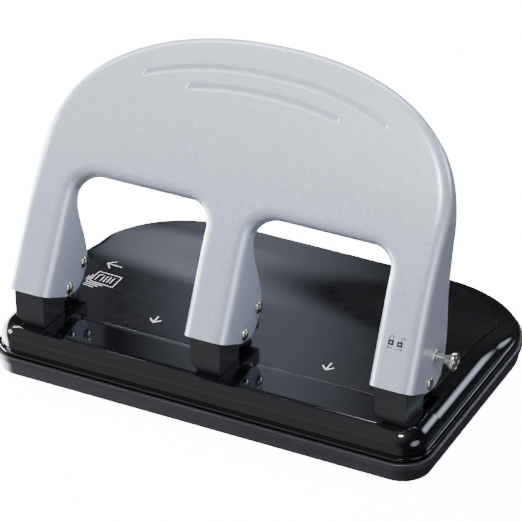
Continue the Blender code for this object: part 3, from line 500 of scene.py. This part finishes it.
def makePlate():
    plate = {"inset": 14.3 * mm, "back": 5.5 * mm, "edge": 0.22 * mm, "start": plateBox[0].y}
    proud = base["plateProud"]
    half, middle, softer = (halfOutline(plate["inset"] + cut, plate["start"] + cut, plate["back"] + cut)
                            for cut in (0, 0.3 * plate["edge"], plate["edge"]))
    rings = [ringPoints(half, lambda y: deckHeight(y) + proud - base["plateThickness"]),
             ringPoints(half, lambda y: deckHeight(y) + proud - plate["edge"]),
             ringPoints(middle, lambda y: deckHeight(y) + proud - 0.3 * plate["edge"]),
             ringPoints(softer, lambda y: deckHeight(y) + proud)]
    piece = loftedPiece("plateSheet", rings)
    cutDieHoles(piece)
    smooth(piece, 38)
    weighNormals(piece)
    finishPiece(piece, "base", "plate_gloss", plateBlack, "paper_plate")


makeTray()
makeCover()
makePlate()
print("base made")


# the lever: one sheet, drawn flat as (x, along, behind) and then leaned back and curved

lever = {
    "footY": base["front"] + 7.9 * mm, "footZ": 50.05 * mm, "lean": math.radians(27.0),
    "straight": 42 * mm, "bendRadius": 229 * mm, "length": 166.9 * mm, "pitch": 107.95 * mm,
    "legWidth": 25 * mm, "taper": 0.022, "domeStart": 84 * mm, "domePower": 2.17,
    "openingTop": 71 * mm, "openingCorner": 13 * mm, "sheet": 1.4 * mm, "fold": 6.5 * mm,
    "lip": 12 * mm, "lobe": 39.5 * mm, "lobeCentre": 18 * mm, "lobeFoot": 24 * mm, "lobeEnd": 60 * mm,
    "sideDrop": 11.5 * mm, "sideStart": 45 * mm, "sideEnd": 118 * mm,
    "foldSteps": 8, "wallSteps": 5, "domeSteps": 132, "cornerSteps": 12, "sideStep": 3 * mm}

grooves = [  # half length, height at the middle and drop towards the ends
    {"half": 72.0 * mm, "middle": 145.2 * mm, "drop": 14.0 * mm, "power": 2.3},
    {"half": 45.0 * mm, "middle": 133.9 * mm, "drop": 5.1 * mm, "power": 2.2}]
grooveShape = {"depth": 1.2 * mm, "above": 3.1 * mm, "bottom": 0.0 * mm, "below": -1.9 * mm,
               "endRound": 1.6 * mm}


def leanIn(x, along):
    return x - math.copysign(lever["taper"] * along, x)


def leverOutline():
    half, pitch = lever["legWidth"] / 2, lever["pitch"]
    corner, top = lever["openingCorner"], lever["openingTop"]
    cornerY = top - corner
    step, domeStart = lever["sideStep"], lever["domeStart"]
    low = [k * step for k in range(-4, int(cornerY / step))]
    high = [cornerY + k * step for k in range(int((domeStart - cornerY) / step))]
    wide = leanIn(pitch + half, domeStart)
    power = 2 / lever["domePower"]
    dome = []
    for k in range(lever["domeSteps"] + 1):
        a = math.pi * k / lever["domeSteps"]
        dome.append((wide * math.copysign(abs(math.cos(a)) ** power, math.cos(a)),
                     domeStart + (lever["length"] - domeStart) * math.sin(a) ** power))
    right = [(leanIn(pitch + half, y), y) for y in low + high]
    outline = right + dome + [(-x, y) for x, y in reversed(right)]
    outer, inner = pitch - half, half
    steps = lever["cornerSteps"]
    outline += [(-leanIn(outer, y), y) for y in low]
    outline += arcPoints((-leanIn(outer, cornerY) + corner, cornerY), corner, 180, 90, steps)
    outline += arcPoints((-inner - corner, cornerY), corner, 90, 0, steps)
    outline += [(-inner, y) for y in reversed(low)] + [(inner, y) for y in low]
    outline += arcPoints((inner + corner, cornerY), corner, 180, 90, steps)
    outline += arcPoints((leanIn(outer, cornerY) - corner, cornerY), corner, 90, 0, steps)
    outline += [(leanIn(outer, y), y) for y in reversed(low)]
    return outline


def moveIn(outline, distance):
    # the outline moved inwards, with each corner moved along its own bisector
    moved = []
    count = len(outline)
    for i, (x, y) in enumerate(outline):
        before, after = outline[i - 1], outline[(i + 1) % count]
        a = Vector((x - before[0], y - before[1])).normalized()
        b = Vector((after[0] - x, after[1] - y)).normalized()
        first, second = Vector((-a.y, a.x)), Vector((-b.y, b.x))
        middle = (first + second).normalized()
        reach = distance / max(middle.dot(first), 0.5)
        moved.append((x + middle.x * reach, y + middle.y * reach))
    return moved


def wallDepth(x, along):
    # how far back the turned wall reaches: a round lobe at the foot, and a narrow lip further up
    lobe, lip, centre = lever["lobe"], lever["lip"], lever["lobeCentre"]
    if along < centre:
        t = 1 - max(along, 0.0) / centre
        return lever["lobeFoot"] + (lobe - lever["lobeFoot"]) * math.sqrt(max(1 - t ** 3, 0.0))
    if abs(x) > lever["pitch"]:
        drop = lever["sideDrop"]
        first = drop * ease(along, centre, lever["lobeEnd"])
        return lobe - first - (lobe - drop - lip) * ease(along, lever["sideStart"], lever["sideEnd"])
    return lobe - (lobe - lip) * ease(along, centre, lever["lobeEnd"])


def grooveLine(groove, x):
    return groove["middle"] - groove["drop"] * min(abs(x) / groove["half"], 1.3) ** groove["power"]


def grooveDepth(x, along):
    deepest = 0.0
    for groove in grooves:
        across = along - grooveLine(groove, x)
        if across > grooveShape["bottom"]:
            part = 1 - ease(across, grooveShape["bottom"], grooveShape["above"])
        else:
            part = ease(across, grooveShape["below"], grooveShape["bottom"])
        end = 1 - ease(abs(x), groove["half"] - grooveShape["endRound"], groove["half"])
        deepest = max(deepest, grooveShape["depth"] * part * end)
    return deepest


def placeOnLever(x, along, behind):
    lean, radius, straight = lever["lean"], lever["bendRadius"], lever["straight"]
    flat = min(along, straight)
    angle = lean + max(along - straight, 0.0) / radius
    y = flat * math.sin(lean) + radius * (math.cos(lean) - math.cos(angle))
    z = flat * math.cos(lean) + radius * (math.sin(angle) - math.sin(lean))
    return Vector((x, lever["footY"] + y + behind * math.cos(angle),
                   lever["footZ"] + z - behind * math.sin(angle)))


def insideRing(ring, x, y):
    inside = False
    for i, (x1, y1) in enumerate(ring):
        x0, y0 = ring[i - 1]
        if (y0 > y) != (y1 > y) and x < x0 + (y - y0) * (x1 - x0) / (y1 - y0):
            inside = not inside
    return inside


def facePoints(guard):
    # a grid over the face, with closer rows along the grooves; the rows' places are in millimetres
    grid = {"coarse": 3.0 * mm, "fine": 1.5 * mm, "fineFrom": 110 * mm, "over": 2 * mm,
            "along": 1.1 * mm, "atEnd": 0.35 * mm, "keepOff": (3.2 * mm, 2.9 * mm, 4.2 * mm),
            "rows": (3.7, 3.1, 2.4, 1.7, 1.0, 0.5, 0.0, -0.35, -0.7, -1.05, -1.4, -1.9, -2.4)}
    found = []
    for groove in grooves:
        steps = int(2 * (groove["half"] + grid["over"]) / grid["along"])
        columns = [-groove["half"] - grid["over"] + grid["along"] * k for k in range(steps + 1)]
        columns += [side * (groove["half"] - k * grid["atEnd"]) for side in (-1, 1) for k in range(1, 5)]
        found += [(x, grooveLine(groove, x) + mm * row) for x in columns for row in grid["rows"]]
    beside, below, above = grid["keepOff"]
    count = int(2 * lever["pitch"] / grid["coarse"]) + 12
    y = -lever["sideStep"] * 1.5  # below the foot, where the sheet is cut off
    while y < lever["length"]:
        for k in range(count + 1):
            x = (k - count / 2) * grid["coarse"]
            near = [g for g in grooves if abs(x) < g["half"] + beside
                    and -below < y - grooveLine(g, x) < above]
            if not near:
                found.append((x, y))
        y += grid["fine"] if y > grid["fineFrom"] else grid["coarse"]
    return [(x, y) for x, y in found if insideRing(guard, x, y)]


def makeLever():
    outline = leverOutline()
    ring = moveIn(outline, lever["fold"])
    guard = moveIn(outline, lever["fold"] + 0.9 * mm)
    inner = facePoints(guard)
    flat = [Vector((x / mm, y / mm)) for x, y in ring + inner]
    result = delaunay_2d_cdt(flat, [], [list(range(len(ring)))], 1, 0.001)
    points = [(p.x * mm, p.y * mm, grooveDepth(p.x * mm, p.y * mm)) for p in result[0]]
    faces = [list(f) for f in result[2]]
    order = {}
    for new, origins in enumerate(result[3]):
        for old in origins:
            order[old] = new
    last = [order[i] for i in range(len(ring))]
    rows = []
    for k in range(1, lever["foldSteps"] + 1):
        a = math.radians(90 * k / lever["foldSteps"])
        inset = lever["fold"] * (1 - math.sin(a))
        rows.append([(x, y, lever["fold"] * (1 - math.cos(a))) for x, y in moveIn(outline, inset)])
    for k in range(1, lever["wallSteps"] + 1):
        share = k / lever["wallSteps"]
        rows.append([(x, y, lever["fold"] + (wallDepth(x, y) - lever["fold"]) * share) for x, y in outline])
    for row in rows:
        start = len(points)
        points += row
        here = list(range(start, start + len(row)))
        for i in range(len(row)):
            j = (i + 1) % len(row)
            faces.append([last[i], last[j], here[j], here[i]])
        last = here
    piece = addMesh("leverShell", points, faces)  # still flat, and cut off level at the foot
    cleanNormals(piece)
    activate(piece)
    bpy.ops.object.mode_set(mode="EDIT")
    bpy.ops.mesh.select_all(action="SELECT")
    bpy.ops.mesh.bisect(plane_co=(0, 0, 0), plane_no=(0, 1, 0), clear_inner=True, threshold=0.0000001)
    bpy.ops.object.mode_set(mode="OBJECT")
    for vertex in piece.data.vertices:
        vertex.co = placeOnLever(*vertex.co)
    biggest = max(piece.data.polygons, key=lambda f: f.area if abs(f.normal.x) < 0.1 else 0)
    if biggest.normal.y > 0:
        piece.data.flip_normals()
    applyModifier(piece, "SOLIDIFY", thickness=lever["sheet"], offset=-1, use_even_offset=True)
    softenEdges(piece, 0.3 * mm, 2, 60)
    smooth(piece, 40)
    weighNormals(piece)
    finishPiece(piece, "lever", "lever_silver", paint, "lever")


makeLever()
print("lever made")


# punch heads, rods and dies

def makeHeads():
    for side in sides:
        piece = copyOfNode("punch_head_" + side, "headHousing_" + side)
        softenEdges(piece, 0.3 * mm, 3)
        smooth(piece, 35)
        weighNormals(piece)
        finishPiece(piece, "base", "head_black", headBlack, "punch_head_" + side)


def makeRods():
    for side in sides:
        piece = copyOfNode("punch_rod_" + side, "rodWithCrosshead_" + side)
        softenEdges(piece, 0.2 * mm, 2)
        smooth(piece, 35)
        weighNormals(piece)
        finishPiece(piece, "punch_rod_" + side, "tool_steel", groundSteel, "punch_rod_" + side)


def makeDies():
    die = {"bore": 3.75 * mm, "edge": 0.45 * mm}
    for side in sides:
        low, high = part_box("die_" + side)
        outer = (high.x - low.x) / 2
        centre = ((low.x + high.x) / 2, (low.y + high.y) / 2, 0)
        edge = die["edge"]
        bore, worn = die["bore"], 0.3 * edge
        profile = [(bore, low.z), (outer, low.z), (outer, high.z - edge),
                   (outer - worn, high.z - worn), (outer - edge, high.z),
                   (bore + worn, high.z), (bore, high.z - worn), (bore, low.z)]
        piece = turnedPiece("dieRing_" + side, profile, centre, 56, "Z")
        smooth(piece, 30)
        # near-black steel on the dies is painted shade for the dark under the heads
        finishPiece(piece, "base", "tool_steel", dieSteelPaintedShade, "die_" + side)


# rivets

def domeProfile(start, radius, rise, outward):
    # a short straight edge, and a dome over it
    edge, steps = 0.22, 8
    points = [(radius, start), (radius, start + outward * edge * rise)]
    for k in range(1, steps):
        a = math.radians(90 * k / steps)
        points.append((radius * math.cos(a), start + outward * rise * (edge + (1 - edge) * math.sin(a))))
    return points


def makeRivet(node, name, body, headLow=True, headHigh=True):
    rivet = {"head": 3.4 * mm, "rise": 1.3 * mm, "pivotShank": 2.45 * mm, "driveShank": 2.15 * mm,
             "chamfer": 0.3 * mm, "play": 0.05 * mm}
    head, rise, chamfer = rivet["head"], rivet["rise"], rivet["chamfer"]
    shank = rivet["pivotShank" if node.startswith("pivot") else "driveShank"]
    low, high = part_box(node)
    centre = (0, (low.y + high.y) / 2, (low.z + high.z) / 2)
    start = low.x + (rise + rivet["play"] if headLow else 0)
    end = high.x - (rise + rivet["play"] if headHigh else 0)
    if headLow:
        profile = [(0, start - rise)] + domeProfile(start, head, rise, -1)[::-1] + [(shank, start)]
    else:
        profile = [(0, start), (shank - chamfer, start), (shank, start + chamfer)]
    if headHigh:
        profile += [(shank, end)] + domeProfile(end, head, rise, 1) + [(0, end + rise)]
    else:
        profile += [(shank, end - chamfer), (shank - chamfer, end), (0, end)]
    piece = turnedPiece(name, profile, centre, 36)
    smooth(piece, 32)
    finishPiece(piece, body, "nickel", nickel, node)


def makeRivets():
    for side in sides:
        makeRivet("pivot_pin_" + side, "pivotRivet_" + side, "base")
        makeRivet("drive_pin_" + side, "driveRivet_" + side, "lever", True, side != "right")


# the lock: knob on a shank, and the bush it slides in

def makeLock():
    low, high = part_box("lock_pin")
    centre = (0, (low.y + high.y) / 2, (low.z + high.z) / 2)
    knob = {"radius": (high.z - low.z) / 2, "length": 6.3 * mm, "shank": 2.3 * mm, "rim": 0.9 * mm,
            "chamfer": 0.5 * mm, "neck": 0.3 * mm, "flareSteps": 14, "flarePower": 1.8}
    shank, rim, radius, end = knob["shank"], knob["rim"], knob["radius"], high.x
    neck = end - knob["length"]
    flare = knob["length"] - 2 * rim
    profile = [(0, low.x), (shank - knob["chamfer"], low.x), (shank, low.x + knob["chamfer"]),
               (shank, neck - knob["neck"])]
    for k in range(knob["flareSteps"] + 1):
        t = k / knob["flareSteps"]
        profile.append((shank + (radius - shank) * t ** knob["flarePower"], neck + flare * t))
    # in from the edge and down from the end, in rims: a rounded rim, and a shallow ring inside it
    for inwards, down in ((0, 0.7), (0.12, 0.3), (0.4, 0.05), (0.6, 0),
                          (1.5, 0), (1.7, 0.25), (2.4, 0.25), (2.6, 0)):
        profile.append((radius - inwards * rim, end - down * rim))
    profile.append((0, end))
    piece = turnedPiece("lockKnob", profile, centre, 56)
    smooth(piece, 32)
    finishPiece(piece, "lock_pin", "nickel", nickel, "lock_pin")

    low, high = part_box("lock_bush")
    centre = (0, (low.y + high.y) / 2, (low.z + high.z) / 2)
    bush = {"bore": 2.55 * mm, "barrel": 3.4 * mm, "collar": (high.z - low.z) / 2, "plate": 0.4 * mm,
            "edge": 0.15 * mm, "lead": 0.2 * mm, "flareOut": 0.6 * mm, "flareDeep": 0.5 * mm}
    bore, barrel, collar, edge, lead = (bush[key] for key in ("bore", "barrel", "collar", "edge", "lead"))
    flared, flareEnd, under = barrel + bush["flareOut"], low.x + bush["flareDeep"], high.x - bush["plate"]
    profile = [(bore, low.x), (flared, low.x), (flared, flareEnd), (barrel, flareEnd), (barrel, under),
               (collar, under), (collar, high.x - edge), (collar - edge, high.x), (bore + lead, high.x),
               (bore, high.x - lead), (bore, low.x)]
    piece = turnedPiece("lockBush", profile, centre, 40)
    smooth(piece, 32)
    finishPiece(piece, "lever", "lever_silver", paint, "lock_bush")


# return springs: one leg on the head's floor, three turns round the pivot, one leg under the drive rivet

def makeSprings():
    coil = {"wire": 1.2 * mm, "radius": 4.6 * mm, "pitch": 1.35 * mm, "turns": 3, "steps": 28,
            "pastDie": 2.4 * mm, "legBend": 8 * mm}
    radius, half = coil["radius"], coil["wire"] / 2
    for side in sides:
        low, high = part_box("return_spring_" + side)
        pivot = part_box("pivot_pin_" + side)
        pivotY, pivotZ = (pivot[0].y + pivot[1].y) / 2, (pivot[0].z + pivot[1].z) / 2
        startX, rest = low.x + half, low.z + half
        lift = high.z - half if high.z - pivotZ > radius + coil["wire"] else pivotZ + radius
        total = int((coil["turns"] + 0.5) * coil["steps"])
        points = [(startX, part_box("die_" + side)[0].y + coil["pastDie"], rest),
                  (startX, pivotY + 0.6 * radius, (pivotZ - radius + rest) / 2 + half)]
        for k in range(total + 1):
            a = math.radians(-90 - 360 * k / coil["steps"])
            points.append((startX + coil["pitch"] * k / coil["steps"], pivotY + radius * math.cos(a),
                           pivotZ + radius * math.sin(a)))
        endX = points[-1][0]
        points += [(endX, pivotY + coil["legBend"], lift), (endX, high.y, lift)]
        curve = bpy.data.curves.new("returnCoil_" + side, "CURVE")
        curve.dimensions = "3D"
        curve.bevel_depth = half
        curve.bevel_resolution = 3
        curve.use_fill_caps = True
        line = curve.splines.new("POLY")
        line.points.add(len(points) - 1)
        for point, place in zip(line.points, points):
            point.co = (*place, 1.0)
        piece = bpy.data.objects.new("returnCoil_" + side, curve)
        bpy.context.collection.objects.link(piece)
        activate(piece)
        bpy.ops.object.convert(target="MESH")
        smooth(piece, 45)
        finishPiece(piece, None, "spring_steel", springSteel, "return_spring_" + side)
        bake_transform(piece)


makeHeads()
makeRods()
makeDies()
makeRivets()
makeLock()
makeSprings()
print("mechanism made")


# printed marks on the plate and on the right leg

def strokePiece(name, shapes, thickness, material, body, slot, place):
    # each shape is a closed outline in flat millimetres; place lifts a flat point into the frame
    points, faces = [], []
    for shape in shapes:
        start = len(points)
        points += [place(x * mm, y * mm) for x, y in shape]
        faces.append(list(range(start, start + len(shape))))
    piece = addMesh(name, points, faces)
    cleanNormals(piece)
    applyModifier(piece, "SOLIDIFY", thickness=thickness, offset=0)
    finishPiece(piece, body, slot, material)
    return piece


def bar(start, end, width):
    along = Vector((end[0] - start[0], end[1] - start[1])).normalized()
    side = Vector((-along.y, along.x)) * width / 2
    return [(start[0] - side.x, start[1] - side.y), (end[0] - side.x, end[1] - side.y),
            (end[0] + side.x, end[1] + side.y), (start[0] + side.x, start[1] + side.y)]


def arrow(tip, tail, barb, width):
    back = Vector((tail[0] - tip[0], tail[1] - tip[1])).normalized()
    side = Vector((-back.y, back.x))
    shapes = [bar(tail, tip, width)]
    for sign in (-1, 1):
        end = (tip[0] + (back.x + sign * side.x) * barb, tip[1] + (back.y + sign * side.y) * barb)
        shapes.append(bar(tip, end, width))
    return shapes


def makePlateMarks():
    # millimetres from the middle and from the foot of the lever
    marks = {"line": 0.75, "proud": 0.02 * mm, "ink": 0.04 * mm, "foot": base["front"] / mm + 7.9}
    shapes = arrow((-103.8, 80.6), (-94.2, 79.9), 4.0, marks["line"])  # points out to the left
    shapes += arrow((-50.3, 36.7), (-50.3, 43.2), 3.4, marks["line"])
    shapes += arrow((55.2, 35.6), (55.2, 43.0), 3.4, marks["line"])
    shapes += sheetStack()
    shapes = [[(x, y + marks["foot"]) for x, y in shape] for shape in shapes]
    top = base["plateProud"] + marks["proud"]
    strokePiece("plateMarks", shapes, marks["ink"], whiteInk, "base", "plate_gloss",
                lambda x, y: (x, y, deckHeight(y) + top))


def sheetStack():
    # a pile of paper: the top sheet with its ruling, and the edges of the sheets under it
    pile = {"line": 0.42, "corners": [(-103.4, 70.8), (-88.6, 70.2), (-88.5, 58.8), (-103.6, 59.9)],
            "ruling": (-101.4, -98.2, -96.1, -94.0, -91.9), "rulingFoot": 61.9, "rulingTop": 68.2,
            "stepLeft": 1.3, "stepDown": 1.6}
    line, corners, foot, top = pile["line"], pile["corners"], pile["rulingFoot"], pile["rulingTop"]
    shapes = [bar(corners[i - 1], corners[i], line) for i in range(4)]
    shapes += [bar((x, foot), (x, top), line) for x in pile["ruling"]]
    shapes.append(bar((pile["ruling"][0], top), (pile["ruling"][0] + 1.8, top), line))
    for k in (1, 2, 3):
        corner = (corners[3][0] - pile["stepLeft"] * k, corners[3][1] - pile["stepDown"] * k)
        shapes.append(bar(corner, (-92.0 - 2.2 * k, 59.2 - pile["stepDown"] * k), line))
        if k < 3:
            shapes.append(bar(corner, (corner[0] + 0.1, 68.6 - 2.0 * k), line))
    return shapes


def makeLockMarks():
    # a shut and an open padlock side by side on the right leg, each over a short arrow, in millimetres
    lock = {"places": ((104.3, False), (109.3, True)), "width": 3.1, "foot": 22.9, "height": 2.7,
            "keyhole": 0.55, "line": 0.42, "hoop": 0.95, "hoopRise": 1.2, "swungOut": 1.7,
            "arrowHeight": 21.6, "tip": 1.7, "tail": 1.4, "barb": 0.75, "arrowLine": 0.36, "ink": 0.04 * mm}
    foot, tall, hoopRadius, level = lock["foot"], lock["height"], lock["hoop"], lock["arrowHeight"]
    half, keyhole = lock["width"] / 2, lock["keyhole"]
    shapes = []
    for middle, opened in lock["places"]:
        for share in (0.17, 0.83):
            y = foot + share * tall
            shapes.append(bar((middle - half, y), (middle + half, y), 0.34 * tall))
        for sign in (-1, 1):
            x = middle + sign * (half + keyhole) / 2
            shapes.append(bar((x, foot), (x, foot + tall), half - keyhole))
        bow = middle + (lock["swungOut"] if opened else 0)
        hoop = [(bow - hoopRadius, foot + tall)]
        hoop += arcPoints((bow, foot + tall + lock["hoopRise"]), hoopRadius, 180, 0, 10)
        if not opened:
            hoop.append((bow + hoopRadius, foot + tall))
        shapes += [bar(a, b, lock["line"]) for a, b in zip(hoop, hoop[1:])]
        side = 1 if opened else -1
        shapes += arrow((middle + side * lock["tip"], level), (middle - side * lock["tail"], level),
                        lock["barb"], lock["arrowLine"])
    strokePiece("lockMarks", shapes, lock["ink"], slateInk, "lever", "lever_silver",
                lambda x, y: placeOnLever(x, y, -0.02 * mm))


makePlateMarks()
makeLockMarks()
print("marks made")


# frame pieces that stay as they are: the inner plate and the screws

for node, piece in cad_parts.items():
    if node == "base_frame" or "screw" in node:
        piece.data.materials.clear()
        piece.data.materials.append(zincSheet)


# floor, light and camera

def makeStage():
    bpy.ops.mesh.primitive_plane_add(size=12, location=(0, 0, -0.0003))
    floor = bpy.context.object
    floor.name = "floor"
    material, tree, shader, place = startMaterial("white_paper_floor", {
        "Roughness": 0.9, "Emission Color": (1, 1, 1, 1), "Emission Strength": 14.0})
    cloud = addNode(tree, "ShaderNodeTexNoise", {"Scale": 1.5, "Detail": 2.0}, Vector=place)
    tint = ramp(tree, cloud.outputs["Fac"], [(0.3, linearColour("#f4f4f5")), (0.7, linearColour("#f8f8f8"))])
    tree.links.new(tint, shader.inputs["Base Color"])
    floor.data.materials.append(material)
    floor.visible_glossy = False
    floor.visible_diffuse = False


def aimAt(holder, place, target):
    holder.location = place
    holder.rotation_euler = (Vector(target) - Vector(place)).to_track_quat("-Z", "Y").to_euler()


def addSoftbox(name, place, target, size, power):
    lamp = bpy.data.lights.new(name, "AREA")
    lamp.shape = "RECTANGLE"
    lamp.size, lamp.size_y = size
    lamp.energy = power
    holder = bpy.data.objects.new(name, lamp)
    bpy.context.collection.objects.link(holder)
    aimAt(holder, place, target)


def addGlowCard(name, place, target, size, strength):
    # a card that is brightest in its middle and fades out to its edge
    bpy.ops.mesh.primitive_plane_add(size=2)
    card = bpy.context.object
    card.name = name
    card.scale = (size[0] / 2, size[1] / 2, 1)
    aimAt(card, place, target)
    material, tree, shader, spot = startMaterial(name, {
        "Base Color": (0, 0, 0, 1), "Emission Color": linearColour("#e2eaff")})
    fade = addNode(tree, "ShaderNodeTexGradient", {"gradient_type": "SPHERICAL"}, Vector=spot)
    level = addNode(tree, "ShaderNodeMath", {"operation": "MULTIPLY"}, i0=fade.outputs["Fac"])
    level.inputs[1].default_value = strength
    tree.links.new(level.outputs[0], shader.inputs["Emission Strength"])
    card.data.materials.append(material)
    card.visible_camera = False
    card.visible_diffuse = False
    card.visible_shadow = False


def makeWorld():
    # a dim room with a few pale patches, each fading out round its middle; from and full are the
    # cosines of the angles at which a patch starts and is at its full strength
    sky = {"everywhere": 0.10, "patches": [
        {"toward": (-0.42, -0.50, 0.75), "from": 0.30, "full": 0.98, "strength": 0.75},
        {"toward": (-0.93, 0.22, -0.30), "from": 0.78, "full": 0.91, "strength": 30.0},
        {"toward": (0.96, -0.28, 0.0), "from": 0.92, "full": 0.985, "strength": 5.0},
        {"toward": (-0.38, -0.78, -0.50), "from": 0.60, "full": 0.95, "strength": 0.6}]}
    world = bpy.data.worlds.new("studio")
    bpy.context.scene.world = world
    world.use_nodes = True
    tree = world.node_tree
    background = tree.nodes["Background"]
    background.inputs["Color"].default_value = linearColour("#f6f8ff")
    way = addNode(tree, "ShaderNodeTexCoord").outputs["Generated"]
    total = None
    for patch in sky["patches"]:
        toward = addNode(tree, "ShaderNodeVectorMath", {"operation": "DOT_PRODUCT"}, i0=way)
        toward.inputs[1].default_value = patch["toward"]
        glow = addNode(tree, "ShaderNodeMapRange", {
            "interpolation_type": "SMOOTHSTEP", "From Min": patch["from"], "From Max": patch["full"],
            "To Max": patch["strength"]}, Value=toward.outputs["Value"])
        added = addNode(tree, "ShaderNodeMath", {"operation": "ADD"}, i0=glow.outputs["Result"])
        if total is None:
            added.inputs[1].default_value = sky["everywhere"]
        else:
            tree.links.new(total, added.inputs[1])
        total = added.outputs[0]
    tree.links.new(total, background.inputs["Strength"])


def makeLight():
    # small lamps for the silver, which the black mirrors don't catch, and cards seen only in reflections
    makeWorld()
    middle = (0.02, -0.03, 0.03)
    addSoftbox("keyLight", (0.20, -0.62, 1.50), middle, (0.35, 0.35), 34)
    addSoftbox("leftFill", (-1.36, -0.55, 0.70), middle, (0.5, 0.5), 17)
    addSoftbox("edgeStrip", (-0.46, 0.52, 1.02), middle, (1.5, 0.16), 18.0)
    addGlowCard("plateGlow", (-0.485, 0.92, 0.42), (-0.01, 0, 0.02), (0.30, 1.25), 2.0)
    addGlowCard("plateGlowLeft", (-0.60, 0.92, 0.42), (-0.08, 0, 0.02), (0.26, 1.25), 1.2)
    addGlowCard("shoulderGlow", (1.10, 1.40, 0.62), (0.12, 0.0, 0.02), (1.1, 1.2), 12.0)


def makeCamera():
    view = {"place": (0.6249, -1.20765, 0.8667), "azimuth": 27.578, "elevation": 30.815,
            "roll": -0.756, "lens": 200.3}
    azimuth, elevation, roll = (math.radians(view[k]) for k in ("azimuth", "elevation", "roll"))
    back = Vector((math.sin(azimuth) * math.cos(elevation), -math.cos(azimuth) * math.cos(elevation),
                   math.sin(elevation)))
    right = Vector((math.cos(azimuth), math.sin(azimuth), 0))
    up = back.cross(right)
    turnedRight = math.cos(roll) * right + math.sin(roll) * up
    turnedUp = back.cross(turnedRight)
    camera = bpy.data.cameras.new("camera")
    camera.lens = view["lens"]
    camera.sensor_width = 36
    camera.clip_end = 50
    holder = bpy.data.objects.new("camera", camera)
    bpy.context.collection.objects.link(holder)
    turn = Matrix((turnedRight, turnedUp, back)).transposed()
    holder.matrix_world = Matrix.Translation(view["place"]) @ turn.to_4x4()
    bpy.context.scene.camera = holder


makeStage()
makeLight()
makeCamera()
print("stage, light and camera made")
